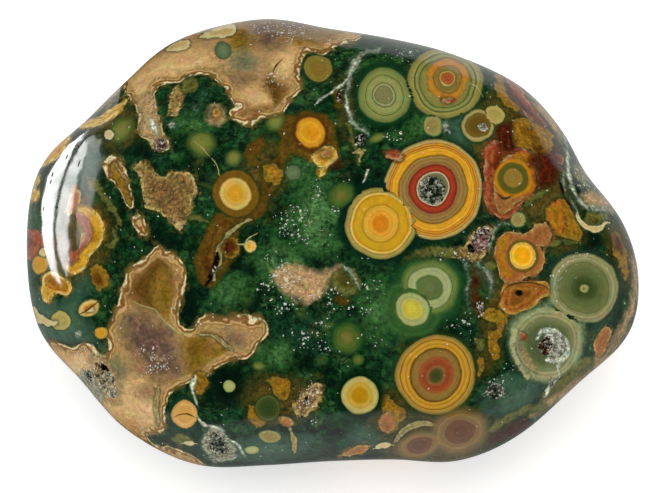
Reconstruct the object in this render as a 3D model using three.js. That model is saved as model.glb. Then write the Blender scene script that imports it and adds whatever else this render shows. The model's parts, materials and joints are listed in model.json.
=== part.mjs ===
// A polished ocean jasper palm stone: one piece of orbicular chalcedony, tumbled to a lumpy
// pebble and ground to a small flat on its underside, so that it lies still on a table.
// Millimetres, +Z up. The origin is under the middle of the stone, on the table.

import * as THREE from "three";
import { mergeVertices } from "three/addons/utils/BufferGeometryUtils.js";

// Driving dimensions of the stone.
const LENGTH = 77; // along X
const WIDTH = 60; // along Y
const CROWN_HEIGHT = 18.5; // from the girdle up to the top of the crown
const BELLY_DEPTH = 15.5; // from the girdle down to where the belly would end unground
const FLAT_DEPTH = 0.6; // what grinding took off the belly

// How full the stone is between girdle and pole: 1 is an ellipsoid, less is boxier.
const GIRDLE_FULLNESS = 0.86;
const CROWN_FULLNESS = 0.94;

// The girdle's outline, [heading in degrees, radius]: the stone is widest low on the right, has a
// worn dent at the upper left and a shallow hollow along the front.
const GIRDLE = [
  [2, 35.4],
  [14, 31.7],
  [27, 31.2],
  [40, 30.8],
  [58, 29.0],
  [76, 28.3],
  [92, 29.6],
  [108, 33.3],
  [128, 35.3],
  [144, 34.7],
  [155, 35.6],
  [166, 38.6],
  [180, 39.0],
  [197, 38.9],
  [209, 36.2],
  [222, 35.0],
  [238, 32.9],
  [252, 29.6],
  [268, 27.8],
  [284, 28.5],
  [298, 31.9],
  [312, 34.1],
  [330, 36.2],
  [342, 38.8],
  [352, 37.8],
];

// How far in from the girdle, as a share of the reach, its outline has faded to a plain ellipse.
const OUTLINE_FADES_AT = 0.2;

// Slow swells of the worn surface: [share of the local radius, turns round the stone, turn at
// which it peaks, in degrees, and how it grows towards the crown].
const SWELLS = [
  [0.018, 2, 35, 1.0],
  [0.014, 3, 150, -0.6],
  [0.009, 5, 80, 0.4],
];

const FACET_DETAIL = 17; // subdivisions of each icosahedron edge, 6480 facets in all
const OUTLINE_SAMPLES = 720; // round the girdle
const MERGE_DISTANCE = 1e-4; // on the unit sphere

const TAU = 2 * Math.PI;
const UP = new THREE.Vector3(0, 0, 1);

/** The girdle as a smooth closed curve, sampled as radius by heading about the middle. */
function girdleRadii() {
  const corners = GIRDLE.map(([heading, radius]) =>
    new THREE.Vector3(radius, 0, 0).applyAxisAngle(UP, THREE.MathUtils.degToRad(heading)),
  );
  const curve = new THREE.CatmullRomCurve3(corners, true, "centripetal");
  return curve
    .getPoints(OUTLINE_SAMPLES)
    .slice(0, OUTLINE_SAMPLES)
    .map((p) => ({ heading: (Math.atan2(p.y, p.x) + TAU) % TAU, radius: Math.hypot(p.x, p.y) }))
    .sort((a, b) => a.heading - b.heading);
}

/** The girdle's radius at a heading, between the two nearest samples. */
function radiusAt(samples, heading) {
  const after = samples.findIndex((s) => s.heading >= heading);
  const b = samples[after < 0 ? 0 : after];
  const a = samples[(after < 0 ? samples.length : after) - 1] ?? samples[samples.length - 1];
  const gap = (b.heading - a.heading + TAU) % TAU;
  const share = gap > 0 ? ((heading - a.heading + TAU) % TAU) / gap : 0;
  return THREE.MathUtils.lerp(a.radius, b.radius, share);
}

/** The radius of a plain ellipse of the stone's length and width at a heading. */
function ellipseRadius(heading) {
  return 1 / Math.hypot(Math.cos(heading) / (LENGTH / 2), Math.sin(heading) / (WIDTH / 2));
}

/** The share by which the swells lift the surface at a heading and a height from -1 to 1. */
function swell(heading, height) {
  return SWELLS.reduce((sum, [size, turns, peak, climb]) => {
    const phase = turns * (heading - THREE.MathUtils.degToRad(peak)) + climb * height;
    return sum + size * Math.cos(phase);
  }, 0);
}

/** Moves a point of the unit sphere to the stone's surface, about the middle of its girdle. */
function toStone(point, samples) {
  const heading = (Math.atan2(point.y, point.x) + TAU) % TAU;
  const reach = Math.hypot(point.x, point.y);
  const edge = THREE.MathUtils.smoothstep(reach, OUTLINE_FADES_AT, 1);
  const outline = THREE.MathUtils.lerp(ellipseRadius(heading), radiusAt(samples, heading), edge);
  const lift = 1 + swell(heading, point.z) * reach;
  const radius = outline * Math.pow(reach, GIRDLE_FULLNESS) * lift;
  const height = Math.sign(point.z) * Math.pow(Math.abs(point.z), CROWN_FULLNESS);
  const depth = height > 0 ? height * CROWN_HEIGHT : height * BELLY_DEPTH;
  return new THREE.Vector3(
    radius * Math.cos(heading),
    radius * Math.sin(heading),
    Math.max(depth * lift, FLAT_DEPTH - BELLY_DEPTH),
  );
}

/** The whole stone, with the middle of its box over the origin and its flat at height 0. */
function stoneGeometry() {
  const ball = new THREE.IcosahedronGeometry(1, FACET_DETAIL);
  ball.deleteAttribute("normal");
  ball.deleteAttribute("uv");
  const stone = mergeVertices(ball, MERGE_DISTANCE);
  const samples = girdleRadii();
  const position = stone.getAttribute("position");
  for (let i = 0; i < position.count; i++) {
    const direction = new THREE.Vector3().fromBufferAttribute(position, i);
    position.setXYZ(i, ...toStone(direction, samples).toArray());
  }
  stone.computeBoundingBox();
  const middle = stone.boundingBox.getCenter(new THREE.Vector3());
  stone.translate(-middle.x, -middle.y, -stone.boundingBox.min.z);
  stone.computeVertexNormals();
  return stone;
}

const jasper = new THREE.Mesh(
  stoneGeometry(),
  new THREE.MeshStandardMaterial({ color: 0x2f4a2b, roughness: 0.12, metalness: 0 }),
);
jasper.name = "jasper_stone";

const stone = new THREE.Group();
stone.add(jasper);

export default stone;
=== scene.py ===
"""The looks of an ocean jasper palm stone: a lumpy polished pebble of deep green chalcedony, full of
ringed orbs, pinkish-tan agate islands, pale veins and small pockets lined with quartz druse.

Places on the stone's face are given on a chart of that face, in millimetres right of and above the
middle of the stone. Blender's own lengths are metres.
"""

import json
import logging
import math
import random
import re
from dataclasses import dataclass, field
from enum import Enum

import bpy
import numpy as np
from mathutils import Matrix, Vector, noise
from mathutils.bvhtree import BVHTree

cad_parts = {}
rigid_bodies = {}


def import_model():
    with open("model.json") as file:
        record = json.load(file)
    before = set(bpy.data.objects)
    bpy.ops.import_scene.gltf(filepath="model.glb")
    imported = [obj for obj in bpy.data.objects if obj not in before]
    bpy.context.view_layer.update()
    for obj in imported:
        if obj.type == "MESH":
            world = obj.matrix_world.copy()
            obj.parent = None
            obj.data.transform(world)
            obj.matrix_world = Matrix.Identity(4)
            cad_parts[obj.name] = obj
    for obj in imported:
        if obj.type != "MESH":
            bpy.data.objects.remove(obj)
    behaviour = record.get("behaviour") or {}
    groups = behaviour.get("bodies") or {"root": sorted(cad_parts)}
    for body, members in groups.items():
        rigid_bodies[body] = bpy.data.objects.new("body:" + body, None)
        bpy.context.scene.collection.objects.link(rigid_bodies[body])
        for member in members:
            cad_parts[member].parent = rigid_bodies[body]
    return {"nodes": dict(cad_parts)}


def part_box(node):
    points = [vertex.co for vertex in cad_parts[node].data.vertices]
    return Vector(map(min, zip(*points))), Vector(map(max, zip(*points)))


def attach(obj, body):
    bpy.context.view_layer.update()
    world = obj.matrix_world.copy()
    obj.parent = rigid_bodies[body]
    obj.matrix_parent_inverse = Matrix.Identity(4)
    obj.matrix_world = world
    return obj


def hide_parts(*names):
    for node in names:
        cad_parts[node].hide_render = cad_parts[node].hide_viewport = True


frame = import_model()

LOG = logging.getLogger("jasper")
STONE_NODE = "jasper_stone"
MM = 0.001  # metres in a millimetre
SKIN_SLACK = 0.05  # how far in front of itself a point of the skin may seem to lie, in millimetres

Point = tuple[float, float]
Triple = tuple[float, float, float]
Stop = tuple[float, str, float]
Colour = tuple[float, float, float, float]


def linear(code: str) -> Colour:
    """Turns a colour as it is seen into the light values that a shader works with.

    Args:
        code: Six hexadecimal digits, red, green and blue.

    Returns:
        Red, green, blue and an alpha of 1.
    """
    shares = [int(code[i : i + 2], 16) / 255 for i in (0, 2, 4)]
    lit = [s / 12.92 if s <= 0.04045 else ((s + 0.055) / 1.055) ** 2.4 for s in shares]
    return (lit[0], lit[1], lit[2], 1.0)


# ---- The chart of the face ----


@dataclass
class FaceChart:
    """The stone's face, laid flat as the eye sees it. Its origin is the middle of the stone.

    Attributes:
        elevation: How far above the table the eye stands, in degrees.
        distance: From the eye to the chart's plane, in millimetres.
        aim: The chart point that the eye looks straight at.
    """

    elevation: float = 65.0
    distance: float = 340.6
    aim: Point = (-0.56, -1.81)
    middle: Vector = field(init=False)
    right: Vector = field(init=False)
    up: Vector = field(init=False)
    back: Vector = field(init=False)

    def __post_init__(self) -> None:
        """Works out the chart's plane from the stone's box."""
        low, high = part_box(STONE_NODE)
        lift = math.radians(self.elevation)
        self.middle = (low + high) / 2 / MM
        self.middle.x = 0
        self.middle.y = 0
        self.right = Vector((1, 0, 0))
        self.up = Vector((0, math.sin(lift), math.cos(lift)))
        self.back = Vector((0, -math.cos(lift), math.sin(lift)))

    def plane_point(self, place: Point) -> Vector:
        """Returns a chart place's point in the chart's own plane, in millimetres."""
        return self.middle + self.right * place[0] + self.up * place[1]

    @property
    def eye(self) -> Vector:
        """The eye's place, in millimetres."""
        return self.plane_point(self.aim) + self.back * self.distance

    def places(self, points: np.ndarray) -> np.ndarray:
        """Finds where points of the stone lie on the chart.

        Args:
            points: Rows of x, y and z, in millimetres.

        Returns:
            Rows of chart x and y.
        """
        from_eye = points - np.array(self.eye)
        depth = -from_eye @ np.array(self.back)
        flat = np.stack([from_eye @ np.array(self.right), from_eye @ np.array(self.up)], axis=1)
        return flat * (self.distance / depth)[:, None] + np.array(self.aim)


@dataclass
class StoneSurface:
    """The stone's skin, for finding what lies where.

    Attributes:
        tree: The skin's faces, in millimetres.
        chart: The chart of the face.
    """

    tree: BVHTree
    chart: FaceChart

    @classmethod
    def of_node(cls, node: bpy.types.Object, chart: FaceChart) -> "StoneSurface":
        """Reads the skin of a node or piece.

        Args:
            node: The stone's node or piece.
            chart: The chart of its face.

        Returns:
            The skin.
        """
        corners = [v.co / MM for v in node.data.vertices]
        faces = [tuple(p.vertices) for p in node.data.polygons]
        return cls(BVHTree.FromPolygons(corners, faces), chart)

    def at(self, place: Point) -> tuple[Vector, Vector]:
        """Finds the point of the face at a chart place. Past the outline, the nearest point holds.

        Args:
            place: Chart x and y.

        Returns:
            The point, in millimetres, and the skin's normal there.
        """
        eye = self.chart.eye
        target = self.chart.plane_point(place)
        point, normal, _, _ = self.tree.ray_cast(eye, (target - eye).normalized())
        if point is None:
            point, normal, _, _ = self.tree.find_nearest(target)
        return point, normal

    def cover(self, points: np.ndarray) -> np.ndarray:
        """Measures how much stone lies between points of the skin and the eye.

        Args:
            points: Rows of x, y and z, in millimetres.

        Returns:
            The thickness at each point, 0 where the eye sees it.
        """
        eye = self.chart.eye
        thickness = np.zeros(len(points))
        for i, row in enumerate(points):
            point = Vector(row)
            reach = (point - eye).length
            hit, _, _, gone = self.tree.ray_cast(eye, (point - eye).normalized(), reach)
            if hit is not None:
                thickness[i] = max(reach - gone - SKIN_SLACK, 0.0)
        return thickness


# ---- The orbs ----


@dataclass(frozen=True)
class Bands:
    """Colours that lie side by side, from the inside of an orb or the outside of a patch.

    Attributes:
        solid: "place:colour" pairs that cover what is under them.
        faint: "place:colour:cover" triples that may let it through.
    """

    solid: str
    faint: str = ""

    @property
    def stops(self) -> tuple[Stop, ...]:
        """The bands as a colour ramp takes them.

        Returns:
            Each band's place, colour and cover.
        """
        solid = [(*pair.split(":"), "1") for pair in self.solid.split()]
        faint = [three.split(":") for three in self.faint.split()]
        return tuple((float(a), b, float(c)) for a, b, c in [*solid, *faint])


@dataclass(frozen=True)
class Rings(Bands):
    """How an orb is banded from its middle out. A place is a share of its radius, and past 1 lies
    the halo that it left.

    Attributes:
        wander: How far the bands stray from true circles, in millimetres.
    """

    wander: float = 0.12


class OrbKind(Enum):
    """The kinds of orb, in the order in which they grew over one another."""

    OLIVE_SOFT = Rings("0:747a3a .4:6e7638", ".6:5c6c30:.85 .85:365229:.45 1.05:16361b:0", 0.3)
    GREEN_SOFT = Rings("0:6e6a36 .35:68672f .5:4d6428 .8:3d5a24", "1:1d4420:.8 1.25:0c2c17:0", 0.3)
    GREEN_MIDDLE = Rings(
        "0:667546 .2:5f6f40 .43:586a3a .47:7d8c58 .51:a0a878 .6:939c6c .67:a3a87a .73:8a9564"
        " .76:526638 .8:6d7c44 .92:5c7038 1:3f5c2c", "1.08:1f4a26:.95 1.25:123a1e:.85 1.55:0c2c17:0",
        0.2
    )
    YELLOW_LOBE = Rings(
        "0:c8b946 .2:c8b83c .42:bcae46 .54:a5a860 .6:98a468 .7:a2a872 .78:8c9960 .82:48602f .9:3a5a2c"
        " 1:32582a", "1.15:2c5228:.9 1.35:3c6432:.75 1.5:2c562a:.5 1.75:1a4424:0", 0.35
    )
    GREEN_RIGHT = Rings(
        "0:6e6e3a .05:6e6e3a .08:9c9a64 .12:878656 .14:38481e .3:42502a .36:4f5c36 .6:646e42"
        " .71:6f7348 .735:56603a .76:86865c .82:908e66 .9:94926a .96:908e66 1:6c7248",
        "1.03:23372d:.9 1.25:0f2a1c:0"
    )
    PALE_GREEN = Rings(
        "0:46523a .4:505c3e .52:56623e .62:68724a .72:7c8058 .78:989268 .9:a49c72 .96:98946c 1:747e58",
        "1.03:23372d:.9 1.2:0f2a1c:0", 0.2
    )
    GREEN_UPPER = Rings(
        "0:74724c .28:7c7c52 .33:686b42 .37:a0a070 .41:7c804c .44:5c6438 .47:8c9158 .6:8a8f56"
        " .71:828a4c .74:485328 .77:808848 .9:767f48 1:5a6b3a",
        "1.04:123c1c:.95 1.2:0a2a16:.8 1.4:08230f:0"
    )
    TOP_OUTER = Rings(
        "0:827d41 .6:827d41 .66:7d7c40 .69:46552d .72:828246 .8:7d824b .83:3c4b28 .86:908848"
        " .95:8a8244 1:766e38", "1.03:1e3c24:.9 1.15:0f2a1c:0"
    )
    TOP_INNER = Rings(
        "0:8a4220 .2:a45c2c .27:9e5e28 .3:beaa6c .34:786432 .45:826e37 .57:8c7337 .61:6e4b19"
        " .64:ae762a .8:b67e2a .9:a47026 .95:6e501e .99:82733c", "1.03:82733c:0"
    )
    SUNBURST = Rings(
        "0:3c4630 .31:6e6a50 .345:beb496 .36:802c1c .42:a23c24 .48:90301c .505:6e2618 .53:8e6a3c"
        " .62:8e703c .67:987a42 .69:785c2a .705:785014 .73:dca026 .8:d49822 .835:e2aa38 .855:a05a16"
        " .875:d4982e .9:925418 .92:cc9836 .95:a06826 .97:bca262 1:a49258",
        "1.03:0c2818:.85 1.15:0a2416:0"
    )
    YELLOW_TWIN = Rings(
        "0:cc7610 .2:d08018 .3:da9e30 .42:d0a038 .5:c4962c .53:aa7a1a .56:c2941c .66:c89a1e .79:c08e18"
        " .82:cca850 .855:ccb062 .88:9a7e32 .91:a08e4a .96:968a48 1:7c763a",
        "1.03:062316:.95 1.18:06241a:.8 1.3:0a2e18:0"
    )
    GOLD_RINGS = Rings(
        "0:2e3616 .1:424822 .16:5c5028 .2:82603a .25:904a28 .33:8c4424 .42:984e2a .46:94602c"
        " .49:8e6c36 .6:886a30 .64:705424 .665:5a400f .69:b4862a .8:ba8a2a .87:b48832 .89:785814"
        " .915:b48a32 .955:a08240 1:7c7038", "1.03:28370f:.9 1.16:16331a:0"
    )
    YELLOW_LEFT = Rings(
        "0:ca961e .42:cc9828 .58:cc9c3a .7:cca856 .88:ccb066 .96:a88c44 1:6e5519",
        "1.03:6e5214:.95 1.35:735314:.9 1.45:2c3312:.6 1.65:12321a:0"
    )
    MAUVE = Rings(
        "0:643e2c .2:5e3a28 .42:6a462f .58:64402c .64:80643c .68:785c36 .8:80663c .83:907444"
        " .87:785e36 .96:745c36 1:665832", "1.1:605030:.7 1.3:4c4428:0", 0.2
    )
    YELLOW_BOTTOM = Rings(
        "0:a87c05 .34:b2860f .5:c29a34 .7:c0a250 .8:bcac68 .94:aaa460 1:6e7038",
        "1.03:031c0e:.97 1.25:05240f:.85 1.5:0a2a14:0"
    )
    GOLD_TOP = Rings(
        "0:c47c0c .3:d08c16 .6:d69c28 .85:cc9024 .94:a66c1a 1:643c0f", "1.05:50280c:.8 1.35:3c2a10:0",
        0.25
    )
    GOLD_RIGHT = Rings(
        "0:78735a .08:3c3223 .12:7d7350 .17:876e32 .5:96762d .57:7d6428 .61:5a5823 .86:55551e"
        " .93:826419 1:be7d19", "1.05:c37d14:.9 1.2:b97314:0", 0.15
    )
    GOLD_BRIGHT = Rings(
        "0:eea50f .48:f0aa14 .6:f5be41 .66:e1b450 .77:dcaf4b .82:6e5a23 .97:64501e",
        "1.02:a06432:.7 1.25:aa6432:0", 0.15
    )
    ORANGE_SMALL = Rings(
        "0:c8731e .3:d2821e .55:deaa46 .8:d7be82 .95:a08c50", "1.02:3c4a23:.8 1.25:1b3a1c:0"
    )
    GOLD_SMALL = Rings("0:b4821e .4:be8c23 .8:c8963c .95:a07d32", "1.02:46461e:.8 1.25:1b3a1c:0", 0.3)
    TAN_ORANGE = Rings(
        "0:c89650 .5:cd9b55 .85:d2a55f .96:b98c50 1:5f5a32", "1.05:0f3423:.95 1.4:14382a:0"
    )
    TAN_SMALL = Rings("0:8c7346 .5:8c7d46 .8:969155 .95:7d8250", "1.02:30522f:.7 1.2:1c4526:0", 0.2)
    BROWN_ORB = Rings("0:82642d .5:7d6928 .9:827332 .97:5f5a28", "1.02:14321c:.9 1.25:0f2a17:0", 0.2)
    BROWN_DARK = Rings(
        "0:5a4619 .5:645019 .75:6e5a23 .85:aa9b64 .97:8c8250", "1.02:1e4428:.8 1.2:1c4428:0", 0.25
    )
    GREEN_SMALL = Rings("0:66785a .5:5f7352 .8:566a4a .97:44573e", "1.02:2c4a2c:.7 1.2:1c3a20:0")
    GREEN_RING = Rings(
        "0:28401e .5:37461e .8:3c4b20 .88:555a28 .95:4e5428 1:2d4120", "1.05:1c371c:.6 1.2:0c2c17:0"
    )
    CREAM_SMALL = Rings("0:aaaa6e .6:a5a569 .9:9ba064", "1:466440:.8 1.15:0c2c17:0", 0.15)
    CREAM_OLIVE = Rings("0:9b8c4b .5:a5964f .8:b4a564 .95:a0964f", "1.02:32441e:.9 1.2:1c3c20:0", 0.25)


@dataclass(frozen=True)
class Orb:
    """One orb, a ball of ringed chalcedony that the polished face cuts through.

    Attributes:
        kind: How it is banded.
        place: Its middle on the chart.
        radius: Its radius, in millimetres.
        height: Its height over its width.
        turn: How far its width is turned from the chart's, anticlockwise, in degrees.
    """

    kind: OrbKind
    place: Point
    radius: float
    height: float = 1.0
    turn: float = 0.0


def read_entries(text: str) -> list[tuple[str, list[tuple[float, ...]]]]:
    """Reads a table of things on the face.

    Args:
        text: A kind, then its entries with semicolons between them, then the next kind. An entry is
            made of groups of numbers. Lines that start with # are remarks.

    Returns:
        Each entry's kind and groups, in order.
    """
    rows = [line for line in text.split("\n") if not line.startswith("#")]
    found = []
    for kind, entries in re.findall(r"([A-Z_]+)([^A-Z]+)", " ".join(rows)):
        for entry in entries.split(";"):
            groups = [tuple(float(n) for n in group.split(",")) for group in entry.split()]
            found.append((kind, groups))
    return found


def read_orbs(text: str) -> tuple[Orb, ...]:
    """Reads orbs: a place, a radius, and perhaps a height and a turn.

    Args:
        text: The table.

    Returns:
        The orbs, in order.
    """
    return tuple(
        Orb(OrbKind[kind], place, *sum(sizes, ())) for kind, (place, *sizes) in read_entries(text)
    )


FACE_ORBS = read_orbs("""
OLIVE_SOFT -16.3,11 2; -12.3,9.2 1.3; -28.4,-6.6 1.3 .8; 5.6,11.8 1.4 .5 20; -9,-16.8 1 .7;
  -26.3,12.8 2.2 .75 30; -7,13.8 1.5
GREEN_SOFT 2,-13.2 2; 3.2,-16 .7; 1.2,4.6 1.9 .8 50
GREEN_MIDDLE 12.3,-7 3.5
YELLOW_LOBE 10,-9.6 2.45
PALE_GREEN 26.9,-13.9 4.5 1.02
GREEN_RIGHT 31.6,-7 4.2 1.06 60
GREEN_UPPER 6.5,17.1 3.25
TOP_OUTER 14.2,18.7 4.65 .97
TOP_INNER 14.5,19.2 2.9
YELLOW_TWIN 6.2,1 4.32 1.03
SUNBURST 12.8,5.4 5.95 1.04
GOLD_RINGS 13,-17.9 4.95
MAUVE 16,-25 3.3 .8 22; 11.2,-26.8 2.7 .55 12
YELLOW_LEFT -12,4.8 2.05
YELLOW_BOTTOM 3.5,-20.4 2.3
GOLD_TOP -2.6,12.4 1.85 1.15 20
GOLD_RIGHT 22.7,6.8 2.15
GOLD_BRIGHT 23.9,-3 2.1
ORANGE_SMALL -10,-1.8 .85 .9; -30.4,-9.5 1.35 .7 20
GOLD_SMALL -28.8,-12.7 .85; -36.5,-4.1 1.2
TAN_ORANGE -18.4,-22.8 1.65
TAN_SMALL 12.7,13.4 1.3; 23.4,1.6 1; -7.9,-25.6 1.35 .6 -10
BROWN_ORB -1.7,20.5 1.75 .95
BROWN_DARK 18.3,13.3 1.9
GREEN_SMALL -4.8,7.4 1.05; -13.6,22.7 1
GREEN_RING -8,-22 1.6
CREAM_SMALL -12.8,-19.4 .75; -10.1,-27.2 .9 .5
CREAM_OLIVE 20.4,14.6 1.25; -33.9,-11 1.35 .9
""")


# ---- The patches: clouds, agate islands, stains and veins ----


@dataclass(frozen=True)
class Layers(Bands):
    """How a patch is layered. A place is a depth inside its edge, in millimetres.

    Attributes:
        ragged: How far fine bumps move the edge and the layers, in millimetres.
        drift: How far slow waves move the layers, in millimetres.
        inside: Whether it only colours the agate islands.
        grain: How strongly its grains differ in brightness.
        blot: The colour of the blots that cloud it.
        worn: The colour that its rim takes here and there.
    """

    ragged: float = 0.15
    drift: float = 0.3
    inside: bool = False
    grain: float = 0.0
    blot: str = ""
    worn: str = ""


class PatchKind(Enum):
    """The kinds of patch, in the order in which they lie over one another."""

    MOSS = Layers("", "-1:1e4622:0 0:34622f:.52 2:547e48:.82", 0.8, 1.0, grain=0.75, blot="12301a")
    TEAL = Layers("", "-.7:2c4a3c:0 .2:38574a:.65 2:486552:.85", 0.4, 0.6, blot="2c463a")
    NIGHT = Layers("", "-.6:05160e:0 .3:04160e:.8 1.5:03120b:.95", 0.4, 0.5)
    UMBER = Layers("", "-1:2c3a14:0 .1:4b4319:.6 1.2:5f4a1e:.8", 0.6, 0.9, grain=0.6, blot="1c2a12")
    STAIN = Layers(
        "",
        "-.5:16300f:0 -.25:32360f:.6 0:50400f:.95 .3:5a4014:1 .7:684817:1 1.1:50340e:1 1.6:6e4c1a:1"
        " 2.4:5a3a10:1", 0.22, 0.9, grain=0.4, blot="3c2008"
    )
    TAN = Layers(
        "-.03:c8b98c .06:f0e1c3 .13:b99160 .22:785028 .45:8c6637 .53:c8a578 .75:b48f5c .83:8c6635"
        " .95:ab8758 1.4:ba9562 1.5:9a763f 1.65:b69064 2.4:b48e66 3:aa865e",
        "-.6:0a1e10:0 -.2:1a260f:.7 -.1:50501e:.9", 0.16, 1.0, grain=0.2, blot="8c6b4b", worn="64522a"
    )
    TAN_BROWN = Layers(
        "", "-.9:825a23:0 .1:6e4b1e:.9 .9:5f4117:1 1.8:644619:1", 0.35, 0.8, inside=True, grain=0.3,
        blot="4b3214"
    )
    TAN_GOLD = Layers(
        "", "-.9:967328:0 .1:8c6928:.9 .9:7d5f1e:1 1.8:735014:1", 0.35, 0.8, inside=True, grain=0.4,
        blot="5f4616"
    )
    TAN_PINK = Layers(
        "", "-1:be9664:0 .2:cea572:.85 1.5:d8b282:.97", 0.5, 0.8, inside=True, grain=0.2, blot="b48e66"
    )
    TAN_MAUVE = Layers(
        "", "-.9:8a6e50:0 .2:7a6044:.65 .9:665040:.82 1.6:5a4440:.9", 0.4, 0.8, inside=True, grain=0.5,
        blot="967864"
    )
    TAN_GREEN = Layers("", "-.7:6e8264:0 .1:667359:.55 1.2:57684e:.8", 0.4, 0.6, inside=True, grain=0.4)
    SUGARY = Layers(
        "", "-.5:4b5a32:0 -.1:85795a:.6 .4:b0906a:.95 1.4:c09a74:1 2.4:ac8862:1", 0.35, 0.5, grain=0.55,
        blot="966e50"
    )
    GRAINY = Layers(
        "-.03:b4a06e .08:b99f66 .3:96783f .8:8c6a34 1.4:7d5a28 2:8c6c36", "-.5:0c1e10:0 -.15:283714:.7",
        0.3, 0.5, grain=0.9, blot="64441f", worn="6e5a32"
    )
    OLIVE = Layers(
        "0:50552a .3:6a6a34 .7:5c5a28 1.2:4b471c", "-.6:0c200f:0 -.15:283a14:.6", 0.35, 0.5, grain=0.4,
        blot="32370f"
    )
    TANLINE = Layers(
        "-.02:a09668 .2:968250 .5:82734a 1:6e6437", "-.45:0c200f:0 -.12:28371c:.7", 0.15, 0.4,
        grain=0.5, blot="5a502d"
    )
    GOLD = Layers(
        "-.02:d7be82 .1:dcbe73 .25:d2a546 .5:c38c2a .9:d29b2d 1.4:b4781e",
        "-.45:1c2c0f:0 -.12:50460f:.8", 0.12, 0.4, grain=0.2, blot="a06414", worn="8c691e"
    )
    RED = Layers(
        "-.02:a58c64 .08:b07350 .2:a5553a .5:8c3b22 .8:a0582e 1.2:782f16 1.8:64250f",
        "-.4:14240f:0 -.1:3c1a10:.8", 0.2, 0.7, grain=0.4, blot="55200f", worn="7d3c28"
    )
    OCHRE = Layers(
        "-.02:7d6930 .1:91691e .4:8c641c .9:a0731e 1.5:785010", "-.5:1c2c0f:0 -.12:3a360f:.8", 0.28,
        0.7, grain=0.55, blot="4b3a12"
    )
    ORANGE = Layers(
        "-.02:a89a56 .07:b48842 .25:a8662a .6:8e541e .9:a46a28 1.3:804a1a",
        "-.45:1e1e0a:0 -.1:461e0a:.8", 0.12, 0.5, grain=0.3, blot="78320f", worn="8c5a1e"
    )
    PINK = Layers(
        "-.02:b09a62 .08:b07e4c .3:a0623a .8:945a32 1.3:a26c3e", "-.45:1e280f:0 -.1:32280f:.8", 0.18,
        0.5, grain=0.35, blot="8c5a2d", worn="8c5f32"
    )
    HONEY = Layers(
        "-.02:a85e2a .1:a8681c .4:a8741a .7:905814 1:a8781e 1.6:8e6214", "-.15:6e2d14:0", 0.12, 0.4,
        grain=0.3, blot="7d5514"
    )
    MAROON = Layers(
        "", "-.5:3c160a:0 0:461a0c:.7 .5:3c0f07:.95 .8:641e0f:1 1.2:461208:1", 0.3, 0.6, grain=0.4,
        blot="1e0a07"
    )
    CREAM = Layers(
        "-.02:c8be96 .2:cdb984 .5:c3aa6e 1.2:b49a64", "-.45:0c200f:0 -.12:37462d:.7", 0.15, 0.3,
        blot="a08c5a"
    )
    MIST = Layers("", "-.8:46643f:0 -.1:788c64:.5 .5:9ba57d:.75", 0.35, 0.4, grain=0.4, blot="5a7350")
    GREY = Layers(
        "", "-.4:143223:0 0:4b6450:.5 .15:788c78:.75 .3:a0a596:.85 .6:8c8c7d:.9", 0.2, 0.3, grain=0.9,
        blot="37503c"
    )
    WHITE = Layers("0:a5ad9b .12:cdd3c6", "-.2:3c4b3c:0", 0.14, 0.1, grain=0.8)
    PALE_LINE = Layers("0:96915a .1:aaa573", "-.06:46552d:0", 0.04, 0.06)
    CRACK = Layers("0:5a3c19 .1:3c280f", "-.08:6e5528:0", 0.04, 0.06)
    BLACK = Layers("0:14100c .2:0a0806", "-.15:28231c:0", 0.12, 0.1)


@dataclass(frozen=True)
class Patch:
    """A patch with a smooth closed outline through the given chart places."""

    kind: PatchKind
    outline: tuple[Point, ...]


@dataclass(frozen=True)
class Spot:
    """An oval patch.

    Attributes:
        kind: How it is layered.
        place: Its middle on the chart.
        half: Half its width and half its height, in millimetres.
        turn: How far its width is turned, anticlockwise, in degrees.
    """

    kind: PatchKind
    place: Point
    half: Point
    turn: float = 0.0


@dataclass(frozen=True)
class Vein:
    """A vein along a route of (chart x, chart y, half its width)."""

    kind: PatchKind
    route: tuple[Triple, ...]


AnyPatch = Patch | Spot | Vein


def read_patches(text: str) -> tuple[AnyPatch, ...]:
    """Reads patches.

    Args:
        text: The table. Threes are a vein's route. Two pairs are a spot's middle and half size,
            perhaps with a turn after them. More pairs are a patch's outline.

    Returns:
        The patches, in order.
    """
    found: list[AnyPatch] = []
    for name, groups in read_entries(text):
        kind = PatchKind[name]
        if len(groups[0]) == 3:
            found.append(Vein(kind, tuple(groups)))
        elif len(groups) == 2 or len(groups[2]) == 1:
            found.append(Spot(kind, groups[0], groups[1], *sum(groups[2:], ())))
        else:
            found.append(Patch(kind, tuple(groups)))
    return tuple(found)


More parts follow.
